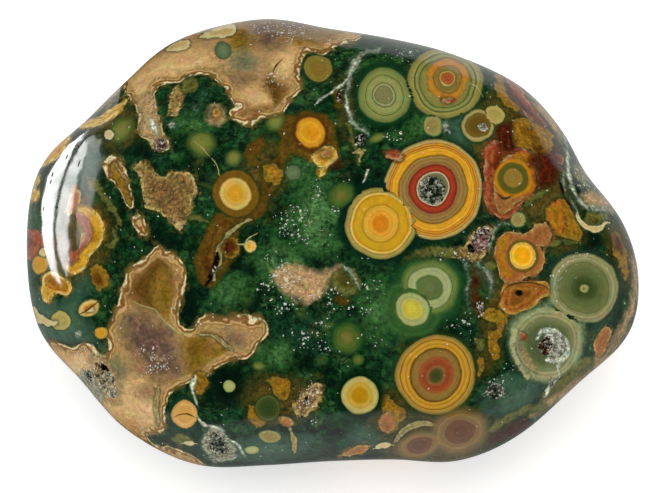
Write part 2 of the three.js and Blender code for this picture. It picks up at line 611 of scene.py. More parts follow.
FACE_PATCHES = read_patches("""
# The top island and what hangs from it.
TAN -27.5,20.5 -20,26 -10,29 4,27 3.3,24.3 1.8,23.4 .1,22.8 -1.2,22.3 -2.5,22.5 -3.5,21.6 -4,20
  -3.9,18.2 -4.8,16.6 -6.1,14.8 -7.3,14.5 -9.2,13.8 -11,13.3 -12.3,13.9 -12.7,14.9 -12,16 -13,17.3
  -13.8,18.6 -14.6,19.4 -15.6,19.8 -17,19.8 -18.4,19.3 -19.2,18.7 -20.8,18.7 -21.7,18.4 -22.3,17.3
  -21.9,15.6 -21.4,14 -20.9,12.2 -20.3,10.6 -21.1,9.9 -22.2,10.4 -23,11.8 -23.9,12.6 -24.3,14.8 -25,16.4
  -26,18
TAN_PINK -25,20 -20,22 -16,22.3 -14.8,20.6 -19,19.6 -22.5,18.8 -22.8,16.5 -22.2,13 -23,12.6 -24,15
  -25.2,17.6
SUGARY -24.2,16.5 -22.4,17 -21.7,14 -21,11.6 -21.6,10.8 -22.4,11.4 -23.3,12.8 -23.9,14.6
WHITE -22.7,14.4,.06 -22.2,13.3,.18 -21.7,12.3,.06
TAN_MAUVE -11.4,19.4 1.6,1.1; -8,24.6 2.6,1.8 -30; -5,25.6 3,.9 -10
TAN_GREEN -11,21.5 1.4,1.2
TAN_BROWN -7.2,17.6 1.6,2.1 -25; -13,27.5 -10.6,25.4 -8.4,25.6 -5,24.2 -1.5,24 .6,24.6 1.6,26.4 -4,28
  -10,29
TAN_PINK -9.4,17 1.5,1.2 -40
TAN_BROWN -8.8,15.2 1.9,.7 15
TAN_PINK -5.6,21.4 1.5,2.2 10
TAN_GOLD -11.2,24.3 1.6,1.5; -3,24.4 2.4,.5 12
CREAM -16.6,24.4 -15,25.2 -13.4,25.9 -12,25.8 -12.2,24.8 -14.2,24.4; -20.6,22.9 -19.6,23.7 -18.3,23.9
  -17.8,23.1 -19.4,22.5
NIGHT -18.6,24.6 -16.6,24.6 -16.4,23.9 -18.2,23.6
# The big forked island on the left.
TAN -21.8,-1.3 -21.1,-2.3 -20,-2.5 -19.2,-3.4 -18.4,-4.6 -18.3,-6.4 -18.7,-8 -19.2,-9.6 -19.3,-10.9
  -18.8,-11.8 -17.4,-12.3 -16.8,-11.4 -15.4,-10.5 -13.6,-10.6 -11.6,-10.2 -9.6,-10.5 -8.2,-11.4 -8,-12.6
  -9.2,-13.7 -9.8,-15 -10.7,-15.9 -12.4,-16 -14,-16.6 -15.2,-17.6 -16,-18.6 -17.4,-18.8 -18.6,-19.2
  -19.9,-20 -20.7,-21.2 -20.9,-23 -20.8,-24.8 -22,-25.2 -23.1,-25.4 -22.5,-26.5 -20.6,-27 -18.6,-27.2
  -16.6,-28.4 -15.6,-30 -20,-32 -31,-25 -38,-15.5 -35,-13.8 -32.8,-14.3 -31,-14.2 -29.8,-14.5
  -28.8,-15.6 -27.9,-15.2 -28.1,-13 -27.4,-11 -26.6,-8.8 -26.1,-7 -25.7,-5.6 -24.9,-4.3 -23.4,-3.2
  -22.4,-2.2
TAN_BROWN -21.9,-3 -20.2,-4.4 -19.8,-8 -20.4,-10.6 -22,-9.8 -25.2,-8.2 -24.9,-6.2 -23.4,-4.6
TAN_GOLD -20.9,-4.8 -20,-8.4 -20.3,-10.8 -21.4,-9.4 -21.8,-6.5; -18,-13.2 -15.2,-13 -13.2,-14.4
  -14.2,-15.2 -15.6,-15.9 -16.8,-17.6 -18,-17.4 -18.6,-15
TAN_MAUVE -25.4,-9.6 -22.2,-10.6 -19.6,-13 -18.4,-16.4 -19,-18.4 -22,-18.8 -24,-16.8 -25.8,-14.2
  -26.4,-11.6; -22,-16.6 1.6,1.2 -30; -12.2,-13.2 1.2,.9 -20
TAN_PINK -25.4,-18 -21.8,-19.4 -21.2,-23.8 -22.8,-24.2 -26,-24 -32,-20 -35,-15.5 -31.5,-15.2 -29.6,-16
  -27.4,-19
TAN_GREEN -26.6,-17.1 1.5,1.1 -40
TEAL -28.6,-14.9 .8,.6
GREY -31.4,-17.6 -30,-17.4 -29.2,-18.6 -28.6,-20.6 -29.2,-22 -31.4,-20.6 -32.6,-18.4
BLACK -30.4,-17.4,.1 -30.1,-18,.22 -29.9,-18.6,.1
SUGARY -30.2,-15.9 -28.6,-15.7 -27.2,-17.6 -26.3,-20 -26.4,-21.3 -27.6,-21.4 -28.6,-20.4 -29.6,-18.4
TAN_MAUVE -23.2,-19.9 1.3,.6 5
PALE_LINE -25,-8.5,.03 -23.6,-9.2,.05 -22,-9.8,.05 -20.9,-11.2,.06 -19.3,-12.5,.07 -17.3,-12.7,.05
TANLINE -16.2,-12.9,.05 -14.6,-13,.12 -13.5,-13.8,.2 -12.9,-14.3,.25; -21.7,-19.9,.1 -22,-21.6,.1
  -21.6,-23.8,.1
# The druse-speckled islands between them.
GRAINY -24.6,8.2 -23.6,8.6 -22.5,7.8 -21.2,7 -20,7.3 -18.4,7.6 -17.3,7 -17,5.8 -16.4,5 -17.6,4.1
  -17.9,2.4 -18.3,.9 -19,.2 -20.2,1.6 -21.8,2.7 -23.2,3.3 -23.5,5 -23.8,6.6
OLIVE -18.2,1.6,.2 -16.9,1.4,.15 -16,1.2,.2
GRAINY -19.4,16.5 .95,1.55 -15
SUGARY -7.4,-5.4 -6,-4.4 -4,-3.9 -2.2,-4.7 -.6,-4.6 .8,-4.1 1.4,-4.9 .4,-6 -.5,-7.3 -1.6,-8.5 -3.2,-8.9
  -4.8,-8.2 -6.2,-7.2
GRAINY -4.6,-21.8 -3.9,-20.6 -3,-19.5 -2.1,-18.6 -1.4,-19 -1.4,-20.4 -1.8,-21.4 -2.8,-22.1 -3.5,-22.9
  -4.4,-22.7
# The small islands along the left.
TAN -28.4,8.7 -27.5,9.6 -26.4,9.3 -25.8,8 -25.4,6.4 -25.1,4.6 -24.9,3.2 -25.5,3.3 -26.4,4.9 -27.4,6.4
  -28.3,7.5; -24.8,2.3 -23.9,2.2 -23.1,1.2 -22.9,0 -23.4,-.5 -24.2,.3 -24.8,1.2
OCHRE -27.3,8.3,.3 -26.8,7,.35 -26,5.4,.25 -25.5,4,.1
OLIVE -29.9,6.4,.4 -28.9,4.6,.45 -27.7,3.2,.3 -26.4,1.4,.2; -27.1,-.1,.2 -26.9,-.9,.25 -27.6,-1.7,.3
  -28.3,-1.6,.1
PALE_LINE -14.1,7.3,.05 -14.6,8.6,.06 -15.8,10,.05 -17,11.2,.04
GOLD -31.4,13.1,.2 -29.8,13.6,.35 -28.2,14.3,.4 -26.9,15.4,.45 -25.8,16.4,.3
SUGARY -30.8,14.2 -29,15.2 -26.6,17.2 -26.4,19 -29.4,17 -31.6,15
CREAM -28,12.3 .6,.5
OLIVE -17.8,18.4 1,1 40
GREY -16.9,15.3 .35,.4
SUGARY -15.6,15.2 -15,15.8 -14,15.6 -13.5,14.9 -13.6,13.8 -14.5,13.5 -15.4,13.9
ORANGE -14.5,14.8 .5,.55
GREY -20,13.6 .4,.35
# The crescent and what lies behind it, down to the lower left edge.
GOLD -31.9,3.2 -30.2,2.9 -28.9,1.4 -28.5,-.4 -29.2,-2 -30.3,-3.2 -30.6,-4.4 -32.2,-5.4 -33.2,-4.6
  -32.6,-3.2 -31.6,-2 -31.2,-.6 -31.4,1
RED -31.7,2.2,.2 -30.9,1.2,.4 -30.5,-.2,.35 -31,-1.6,.25 -31.9,-2.5,.25; -32.4,-3.1 .7,.9
PINK -31.9,5.2,.5 -32.1,3.9,.7 -32.8,2.4,.3
GOLD -32.6,12.6 -34.6,12 -37,10.6 -37.2,8.2 -35.6,8.5 -33.8,9.8 -33,11.2; -37.4,6.5 .8,.9;
  -37.2,4.6 .7,.7
MOSS -37.9,2.4 1,1.6
RED -39,.4 -36.3,-.2 -36,-1.8 -37.4,-3.4 -39,-2.6
CREAM -36,-2.5 .5,.5
GOLD -35.8,-5.4 -33.9,-5.5 -32.6,-6.6 -32.9,-7.7 -34.6,-7.9 -35.4,-8.9 -36,-8.2
HONEY -35.6,-5.8 -34,-5.8 -33,-6.8 -33.4,-7.4 -34.8,-7.2 -35.5,-6.8
OCHRE -30.2,-4.6 -29.2,-4.4 -28.2,-5.4 -28,-6.8 -29,-7.4 -29.9,-6.4
MAROON -29.3,-6.2 .3,.5 30
CREAM -30.2,-9.6 .5,.3 25; -38.2,-9,.3 -37,-10.4,.5 -35.8,-11.3,.35 -34.8,-11.4,.3
GREY -31.7,-12.7 .45,.6
TEAL -38,-7.8 -34,-8.5 -31.4,-7.2 -30.6,-10.6 -29.6,-12.6 -29.6,-14.6 -33,-14.6 -37.6,-13.6
# Stains and the brown vein down the middle.
STAIN -4.4,14.6 -5.4,11 -6,8.4 -6.4,6.6 -7.6,4.6 -8.6,2.6 -9.8,1.6 -11.3,.6 -11.8,-.8 -11.6,-2.2
  -12.6,-3.9 -14,-5.6 -15.4,-6.9 -16.4,-6.2 -17,-4.4 -16.5,-2.5 -15.7,-1 -15.2,.6 -14.3,1.9 -12.6,2.2
  -11.2,2.1 -9.9,3 -9.2,4.6 -8.4,6.4 -8.3,8.1 -7.2,8.8 -6.3,9.9 -6.2,11.6 -6.9,13.6; -10.8,9.9 -9.8,11.4
  -8.6,11.8 -8.2,10.9 -9,9.6 -9.5,8.2 -9.9,8.7; -4.4,14.4 -2,14.9 -.3,14.2 .4,12 .8,10.2 -.2,8.4
  -3.4,9.4 -5.2,10.6
OCHRE -8,-18.6 -7.2,-18.1 -6,-18.2 -5.1,-18.8 -5.3,-20.2 -6.2,-20.9 -6.9,-20.2 -7.4,-19.4;
  -12.4,-2 .9,1.1
MAROON -12.6,-1.9 .7,.7
TANLINE -10.4,1.6,.05 -12.3,.2,.15 -13.1,-1.2,.2 -13.9,-2.6,.3 -13.9,-4,.15 -14.8,-5.6,.1
BLACK -14,-3,.15 -14.4,-4,.35 -15,-5.2,.25 -15.9,-6.7,.1
WHITE -13.9,-4.5,.03 -14.6,-5.1,.08 -15.5,-6.1,.04
OCHRE -7.2,7.3 1,1.2; -9.4,-22.8 1,1.2 20
PALE_LINE -11.5,-1.6,.05 -10.6,-1.6,.12; -10.6,-1.3,.05 -10,-.7,.05 -9.3,-.3,.03
GOLD -2.6,9.2 -1.9,10 -.6,10.7 .4,10.2 .7,9.3 .1,8.6 -.6,8.3 -1,7.3 -1.4,7.2 -1.7,8.4
PINK -.8,9.7 .7,.5
MAROON .5,8.6 .6,.5 50
STAIN 1,16.9 .5,1.1 15
TANLINE -5.6,-23.7 .9,.6 -30
PINK -5.6,-23.7 .75,.5 -30
TANLINE -5.3,-24.4,.15 -4.9,-25.8,.2 -4.7,-27.3,.22
OCHRE -16.9,-17.6 -15.6,-18.2 -15.6,-19.6 -16.3,-20.6 -17.2,-19.6
OLIVE 1.7,-6.4 1.9,1.7
STAIN 1.3,-8.4 .8,.7
GREY 1.8,-4.6,.15 2.8,-5.6,.2 3.3,-6.8,.15
OLIVE -19.2,-26,.5 -18,-26.1,.55
CREAM -18,-26.5,.12 -17.3,-26.5,.2
# Pale veins round the upper green orb.
GREY 5.6,22.9,.35 4.4,22.4,.2 3.3,21.8,.4 2.4,20.3,.35 1.9,18.4,.25 1.8,16.4,.25 2.2,14.7,.25
  3.1,13.4,.3 4.2,12.5,.3; 4.4,22.6,.3 3.2,21.6,.6 2.3,20.2,.5 1.9,19,.2
WHITE 3.5,22,.12 2.6,20.8,.1 2,19.6,.04; 2,19.5,.04 .6,18.1,.03 -1,17,.02 -1.8,16.3,.01; 1.7,17.6,.03
  1.8,16.2,.12 2,15.4,.06
OLIVE 2.2,13.5,.2 2.7,11.4,.25 3.2,10,.35 3.6,8.8,.15
TANLINE 3.1,10.1,.2 3.7,10.3,.3 3.6,9.2,.15
MOSS 2.4,20,.2 4.4,20.9,.3 6.4,21.2,.3 8.4,21.4,.2
WHITE 4.6,7.5,.06 4.2,6.2,.04
GREY 14.4,13 .55,.9
WHITE 14.85,12.5 .2,.3
RED 7.9,9.4 1.1,.6 -10; 14.4,16.5 .65,.4
PALE_LINE 17,18.6,.03 18,18.2,.08 18.8,17.2,.03
# Reds and golds on the right.
OCHRE 20.9,19.2,.5 21,17.8,.5 22,16.4,.45 23.2,15.5,.4
RED 22.2,19.2,.4 23.4,17.1,.55 24.8,14.9,.65 26.6,13.2,.45
SUGARY 23.4,19.4,.3 25.2,17,.5 27.4,14,.5 29,11.6,.3
MAROON 22,18,.1 23.6,16.2,.15 25.2,14.6,.25 26.8,13.2,.15
OCHRE 22.4,13.4 23.6,14.4 25.4,13.8 27.2,12.6 27.6,10.4 26.4,9.4 24.6,10.6 22.8,11.2
MAROON 20.6,13 22.4,13.6 22.6,12 23,10.4 21.4,10.2 20.6,11.4
RED 19,9.2 19.4,10.8 20.6,11.6 22.4,10.6 24,10.9 25.4,9.6 25.7,7.8 26.2,6.6 25.2,5.2 23.8,3.6 22.8,2.3
  21.2,1.7 20,2.6 19.2,4.4 19.2,6.6 18.9,7.8
PINK 21,8.4 22.4,9.8 24.6,9.8 25.4,8 25.6,5.8 24.2,4.4 22.8,3.6 21.9,2.7 20.9,2.9 20.3,4.8 20.4,6.6
HONEY 22.6,9.3 23.6,10.3 24.8,9.8 25.4,8 25.6,5.6 24.6,4.8 23.6,4.6 24.3,5.8 24.5,7.2 23.6,8.6
CRACK 20.7,5,.05 21.5,4.4,.14 22.3,4.6,.05
GRAINY 21.6,4.4 .8,.5 -15
MAROON 25.4,11 26.6,10.2 28.2,10.6 28.6,8.6 27.8,6.4 26.4,5.6 25.6,6.6 25.8,8.6
RED 28.4,9.2 .6,1 20
MAROON 25.3,8.9 .9,.6 40
TANLINE 25.9,9.9,.15 26.5,8.8,.15 27,7.4,.1
RED 25.9,7.2,.2 26,6,.15
PINK 20.3,-2.6 21,-1 22.4,.1 24.2,-.4 25.4,.8 26.8,.9 27.6,-.4 27,-1.6 26,-1.8 26.6,-3.2 26,-4.9
  24.4,-5.7 22.6,-6.4 21.2,-5.8 20.7,-4.2
HONEY 22.4,-.4,.24 21.3,-1.7,.4 21.1,-3.4,.5 21.8,-5,.5 22.8,-5.7,.24
OLIVE 19.3,-4.5,.5 20.4,-4.3,.3
ORANGE 21,-8.2 21.3,-6.8 22.6,-6 24.8,-6.1 26.8,-6.3 27.4,-7.8 26,-8.2 25.2,-9.2 24,-9.9 22.8,-10.3
  21.6,-10 20.9,-9.2
OLIVE 26.3,-7 .9,.8
BLACK 23.3,-7.5 .45,.35
CRACK 21,-8.6,.03 21.6,-7,.06 23.2,-6.3,.06 25.4,-6.3,.06 26.9,-6.9,.03
OCHRE 21.4,-10.4,.35 21.2,-11.8,.3 21,-13,.3
MIST 28,-6.4,.3 27.4,-8.6,.5 25.4,-10.2,.5 23.4,-11,.4
OCHRE 26.9,2.4 27.7,3.8 28.9,4.2 29.8,3.2 30.3,1.8 31,.6 31.2,-.6 29.8,-.9 28.4,-.5 27.4,.6
HONEY 27,2.3 27.7,3.6 28.6,3.9 28.8,2.4 29,.8 28.4,-.2 27.5,.7
OLIVE 24.2,3.4,.3 25.2,4.4,.35 26.8,5.2,.2; 27.4,-1.6,.25 28.6,-1.1,.3 30.4,-1.2,.2
UMBER 34.6,.4 36.6,.4 38,-2.6 38.4,-7 36.8,-6.6 35.6,-4.4 34.6,-2.2
OCHRE 35.2,-.4 36.1,-.5 36.9,-2.6 37.2,-5.4 36.6,-6 36.1,-4.4 35.3,-2.2
MAROON 35.8,-1.5 .4,.7 20
PINK 33.2,-13 34,-12 34.9,-12.3 34.8,-13.8 34,-15.2 33.2,-15.4 32.9,-14.2
# Grey veins at the right edge.
NIGHT 28.6,12 30.6,11 32.2,7 34,4 33,1 30.4,1.6 28.8,4.4 28.6,8
SUGARY 31,4.6 31.8,5.2 33.2,4.8 34.8,3.8 35.4,2.4 34.2,2.2 32.6,2.9 31.4,3.4
OLIVE 32,2.6 34,2.2 34.4,1 33.2,.6 31.8,1
GREY 28.9,12,.3 29.4,10.2,.3 29.5,8.4,.24 29.8,6.4,.22 30.3,4.8,.24 31.4,3.5,.3 33,2.9,.34 34.6,2.7,.34
WHITE 29.4,10,.06 29.6,7.8,.1 29.9,6,.05 30.4,4.6,.09 31.5,3.4,.06
GREY 28.9,7,.15 29,5.2,.18 29.8,3.8,.2 30.6,2.7,.2
CREAM 30.6,2.8,.08 30.9,1.7,.2 31.8,.9,.25 33.2,.5,.3 34.1,.8,.22
BLACK 28.6,6,.08 28.9,4.4,.1 29.8,3.1,.1
OLIVE 31.2,7 .7,1.4 25
# The crystal vein between the two ringed orbs.
OLIVE 15,-2.5,.5 13,-2.4,.5 11.2,-2.7,.5 9.4,-3.4,.3
GRAINY 17.6,-2.4,.8 16.2,-2.5,.6 14.8,-2.7,.45 13.4,-2.9,.2; 16.7,-1.6 17.4,-.4 18.4,.6 19.8,1 20.4,.4
  19.8,-.8 19.3,-2 18.9,-3.2 17.5,-3.8 16.9,-2.8
GREY 19.6,-2.4,.15 19.9,-.8,.2 20.6,.6,.25 21.6,1.3,.15 22.4,1,.1
TEAL 17.4,-3.6,.4 18.8,-4.4,.6 19.8,-6,.6 19.8,-7.6,.4
GREY 18.2,-4.2,.15 19.2,-5,.25 19.9,-6.4,.3 19.7,-7.8,.15; 16.6,-4.2,.12 17,-5.6,.15 17,-7.6,.15
  17.3,-9.4,.15
UMBER 17.7,-4.4,.3 17.8,-7,.6 18.3,-10,.6
MAROON 17.8,-6.2,.22 18.1,-7.8,.35 18.3,-9.4,.3
OCHRE 19.9,-10.4 .8,.6
OLIVE 17.6,-13.6 18.4,-13.2 19.2,-14 18.6,-15
OCHRE 19.6,-12.8 20.7,-12.9 20.9,-15.6 20.4,-16 19.7,-14.6; 18.4,-15.4 19,-15.8 18.9,-17.8 18.3,-17.9
MIST 22.9,-11.2,.24 22.8,-13.2,.3 23.3,-15.8,.34 24.8,-17.6,.3 27,-18.6,.24
WHITE 25.7,-13.2,.22 26.5,-12.2,.26 27.8,-12.3,.3 28.8,-13.3,.3 29.6,-14.7,.3 29.2,-15.7,.3 28,-16,.26
  26.9,-16,.22; 28.8,-15.6,.12 28.2,-16.6,.16 28.3,-17.7,.08
CREAM 22.9,-12.6,.22 22.8,-13.8,.26 23,-15.4,.26 23.7,-17,.24 24.6,-17.9,.22
WHITE 27.9,-18.6,.1 27.2,-19.3,.22 26.9,-20.1,.08
SUGARY 23.6,-14.6 24.4,-15.2 25.4,-16.6 25.8,-17.6 24.8,-17.4 23.9,-16.4
RED 23.8,-13.1 .45,.35
MIST 30.9,-11.6,.24 31,-13.4,.24 30.2,-16.2,.26
# The bottom edge.
OCHRE 6,-20.9 7,-20.4 7.9,-21.7 9.1,-22.4 9,-23.4 8,-23.7 7.8,-24.7 6.8,-25.5 5.7,-24.8 5.7,-23.6
  6.4,-22.6
PINK 6.1,-23 7.2,-22.8 7.6,-24.4 6.7,-25.2 5.9,-24.6
UMBER 8.2,-24.6 12,-22.6 15,-22.2 18.6,-22.6 20,-24.6 19.2,-27 16,-30 9,-30 6.4,-27.4
TANLINE 8.2,-26,.2 9.6,-24.5,.3 11.6,-24,.25 13.2,-24.2,.1
OLIVE 19.6,-24.8,.3 22,-23.4,.4 24.6,-22.2,.4 26.4,-21.8,.3
MAROON 19.8,-26.2,.3 21.8,-25.2,.6 24.2,-23.9,.4
SUGARY 37.6,-3,.3 38,-6.5,.4 37.2,-10,.4 35.8,-13.2,.5 33.4,-16.2,.6 30.6,-18.4,.6 27.8,-20.6,.5
  25,-22.9,.3
OLIVE 26.6,-20.4,.3 29,-18.6,.5 32,-16.4,.6
PINK 1.2,-27.8,.15 2.8,-27.3,.4 4.4,-26.8,.2
CREAM 5.8,-26.9,.2 6.8,-26.7,.3 7.4,-26.7,.1
GREY -16,-25 -14.8,-24.1 -13.5,-24.3 -12.9,-25.4 -12.3,-26.6 -12,-27.7 -12.8,-28.5 -14.4,-28.6
  -15.5,-27.8 -16.1,-26.4
GRAINY -15.7,-25.1 -14.8,-24.5 -13.9,-24.6 -13.2,-25.7 -12.7,-26.8 -12.6,-27.8 -14.2,-28.3 -15.3,-27.5
  -15.8,-26.3
WHITE -17.1,-18.7,.35 -17.3,-19.6,.15 -17,-20.8,.08 -16.7,-21.8,.04; -16.7,-23.2,.03 -15.8,-24,.05
  -14.4,-24.2,.06 -13.4,-25.2,.08; -12.9,-25.8,.04 -11.9,-26.5,.06 -11.3,-27.4,.08
# Fine cracks.
CRACK -19.5,-23,.02 -18.4,-22.7,.06 -17.2,-23,.02; -31.3,-10,.04 -30.4,-9.5,.09 -29.5,-8.9,.04;
  -7.3,20.3,.03 -6.8,20.9,.07 -6.1,21.5,.03
# Clouds in the green.
UMBER 17.8,15 20.5,17.5 23.5,17.5 27,13.5 29,9.5 29.6,5.5 31.5,1.5 31,-1.5 28,-2.6 26.6,-1 25,1 22.5,1.4
  20.5,2 18.6,4.2 18.4,8 17.6,11.5; 19.4,-1.6 19,-5 19.6,-9 18.4,-13 18,-17.5 19.6,-17.8 21.2,-16
  21.6,-12 23.5,-10.6 20.6,-6; -33.5,4.6 -31.2,4.8 -28.2,2.4 -27.4,-.6 -28.6,-3.6 -30.4,-5.6 -33.6,-6.2
  -36,-5 -37.2,-3.5 -36,-1 -34.2,.6; -6.5,-20.8 4.2,3; 7.2,-22.8 2.6,3; -26.5,13 3.2,2.2 20; 2,16 .9,3;
  -8.6,7 2.6,4.6 -20
MOSS -17,13.2 2.2,1.4; -2,2 3.2,5; -6.5,-4 3,2.6 40; -12.5,-7.2 2.6,1.8 20; -4,8.4 2.4,1.6;
  5.8,-9.8 2,3.6; 11.5,13 3,1.2 20; -7,-15.4 2.2,1.6
TEAL 16,12.5 1.2,2.4 20; -31,-6 1.3,2.2; -30.6,7.6 1.2,3.4 -20; 4.2,-25.6 2,1.4; -7.5,-27 5,1.6 5;
  22.4,-20.2 3.8,2.2 20
NIGHT -13,-19.6 2.6,2.6; -3.6,-17 1.4,.8; -23,10.6 2,1 20; -21.5,-.6 3,1.2 -20; -17.6,-9 .9,2.6;
  -27.6,1.6 1.6,2 30; 3.4,3.4 1.8,4.4 -10; 32.6,-.9 1.6,1.2; 20,-11.6 1.4,.6
""")

# Where pale grains are scattered through the green, partly as painted glints.
SPECKLES_AND_GLINTS = read_patches("""
WHITE -22.4,-16.2 1.9,1.7 -30; -6.2,25.4 3.2,1 -12; -7.2,19.2 1.4,.8; -3,-20.6 1.2,1.8 -30;
  -5.4,-5.4 2.2,1.6; -2,-7.6 3.2,.8 10; -4.6,.8 2,2.4; -1.6,4.8 .7,.9; .3,2.7 .5,.6; 1.6,-2.8 .5,.5;
  -7.3,-3.3 .6,.6; -8.3,-6.8 .7,.6; -5.4,-9.2 1.3,.5 15; -5.4,-12.4 .6,.5; -3.4,-13.7 1.3,1 20;
  4.9,-6.8 .9,.6 20; 4.5,-9.6 .4,1.3; -2,-23.8 .5,.4; 8.6,22 1.4,.5 10; 7.8,12 1.4,.5 -10;
  20.5,-19.8 1.4,1.3; 22,-17.6 1.6,.6 30; 15.6,-11.6 .8,.4 20; -31,-17 2,2.4;
  -.9,.5,.2 -.6,-.8,.3 -.1,-1.6,.2; -.3,-8.3,.3 0,-9.8,.45 -1,-11.2,.5 -1.5,-13.2,.45 -1,-14.8,.3
  .6,-15,.2; 1.5,-9.3,.2 2.9,-9.2,.2; 4.8,-13.4,.3 6.3,-14.2,.3; 13.2,-3.2,.2 14.8,-2.8,.4 16.4,-3,.5
  18.2,-3,.5; 28.2,-5.8,.25 29.2,-4.1,.3 30.8,-3.2,.3 32.6,-3.2,.2; 18.9,-9.6 .5,.9; 17.3,-11.2 .3,.8;
  31.2,6.6 .8,1.8 25; -30.6,-19.4 1.2,1.6 30
""")


# What grows on the hidden sides: how many of a kind, and the least and the greatest half of a
# patch's length, or half of a vein's width.
HIDDEN_PATCHES = read_entries("""
TAN 11 2.6 8.5
TAN_BROWN 12 1 4
TAN_GOLD 10 1 3
TAN_MAUVE 12 1 4
TAN_PINK 14 1 5
MOSS 22 1.5 5.5
TEAL 14 1.5 4.5
NIGHT 14 1.5 4
STAIN 16 1.2 4.5
GRAINY 6 1.2 2.6
GOLD 10 .6 1.8
OCHRE 10 .8 2.2
RED 12 .8 2.6
OLIVE 14 .8 2.4
GREY 7 .22
TANLINE 7 .4
CREAM 5 .25
""")


# ---- Fields: how far each corner of the stone lies inside each orb and patch ----

ABSENT = 9.0  # a field's value where nothing of its kind is near
NEAR = 3.0  # how far past a patch its distance is worked out, in millimetres
WRAP = 4.5  # how much stone may cover a part of a face patch that runs over the edge, in mm
FINE = 0.22  # veins with a half-width under this are painted from their centre line, in mm
CURVE_PIECES = 5  # straight pieces between two given places of an outline or a route
LONG_WAVE = 5.0  # the length of the long waves in patches' outlines, in millimetres
LONG_SWAY = 1.6  # how far they move a place, in millimetres
SHORT_WAVE = 1.7  # the same for the short waves
SHORT_SWAY = 0.6
CLEAR = 0.3  # how much stone must cover all of a hidden patch or orb, in millimetres
WELL_HIDDEN = 1.0  # how much stone covers the middle of a hidden patch or orb, in millimetres
THIN_END = 3.0  # a hidden patch reaches at least this deep, in millimetres
VEIN_STEP = 1.8  # from bend to bend of a hidden vein, in millimetres
ORB_SWAY = 0.2  # how far the waves move an orb's outline, as a share
ORB_DEPTH = 1.4  # how deep an orb goes, as a share of its radius
ORB_TRIES = 12  # places tried for each hidden orb
ORB_GAP = 0.94  # how near two hidden orbs may lie, as a share of their radii
ORB_HALO = 1.25  # how far a hidden orb's halo reaches, as a share of its radius
ORB_PUSH = 8  # how sharply an orb that lies nearer takes the place of another


def smooth_curve(corners: np.ndarray, closed: bool) -> np.ndarray:
    """Runs a smooth curve through rows of numbers.

    Args:
        corners: The rows to pass through.
        closed: Whether the curve returns to its start.

    Returns:
        Rows along the curve. A closed one repeats its first row at the end.
    """
    count = len(corners)
    rows = []
    for i in range(count if closed else count - 1):
        around = [i + k if closed else min(max(i + k, 0), count - 1) for k in (-1, 0, 1, 2)]
        a, b, c, d = (corners[k % count] for k in around)
        for j in range(CURVE_PIECES):
            t = j / CURVE_PIECES
            bend = (2 * a - 5 * b + 4 * c - d) * t**2 + (3 * b - a - 3 * c + d) * t**3
            rows.append((2 * b + (c - a) * t + bend) / 2)
    rows.append(corners[0] if closed else corners[-1])
    return np.array(rows)


def route_gap(points: np.ndarray, route: np.ndarray) -> tuple[np.ndarray, np.ndarray, np.ndarray]:
    """Measures points against a route of pieces that have a half-width.

    Args:
        points: Rows of places.
        route: Rows of a place and a half-width.

    Returns:
        The distance past the vein's edge, the signed distance to its centre line, and its
        half-width, each for every point.
    """
    gap = np.full(len(points), np.inf)
    side = np.full(len(points), ABSENT)
    width = np.zeros(len(points))
    for a, b in zip(route[:-1], route[1:]):
        step = b[:-1] - a[:-1]
        share = np.clip((points - a[:-1]) @ step / max(step @ step, 1e-9), 0, 1)
        away = points - a[:-1] - share[:, None] * step
        reach = np.linalg.norm(away, axis=1)
        here = a[-1] + (b[-1] - a[-1]) * share
        closer = reach - here < gap
        turn = np.sign(step[0] * away[:, 1] - step[1] * away[:, 0])
        gap = np.where(closer, reach - here, gap)
        side = np.where(closer, reach * turn, side)
        width = np.where(closer, here, width)
    return gap, side, width


def is_thin(vein: Vein) -> bool:
    """Tells whether a vein is painted from its centre line."""
    return min(width for _, _, width in vein.route) < FINE


def inside(points: np.ndarray, outline: np.ndarray) -> np.ndarray:
    """Tells which places lie inside a closed outline.

    Args:
        points: Rows of places.
        outline: Rows of places, the last the same as the first.

    Returns:
        True for each place inside.
    """
    found = np.zeros(len(points), bool)
    for a, b in zip(outline[:-1], outline[1:]):
        if a[1] == b[1]:
            continue
        spans = (a[1] > points[:, 1]) != (b[1] > points[:, 1])
        crossing = a[0] + (points[:, 1] - a[1]) * (b[0] - a[0]) / (b[1] - a[1])
        found ^= spans & (points[:, 0] < crossing)
    return found


OrbField = tuple[OrbKind, float, np.ndarray]  # a radius, and how many radii each corner is away


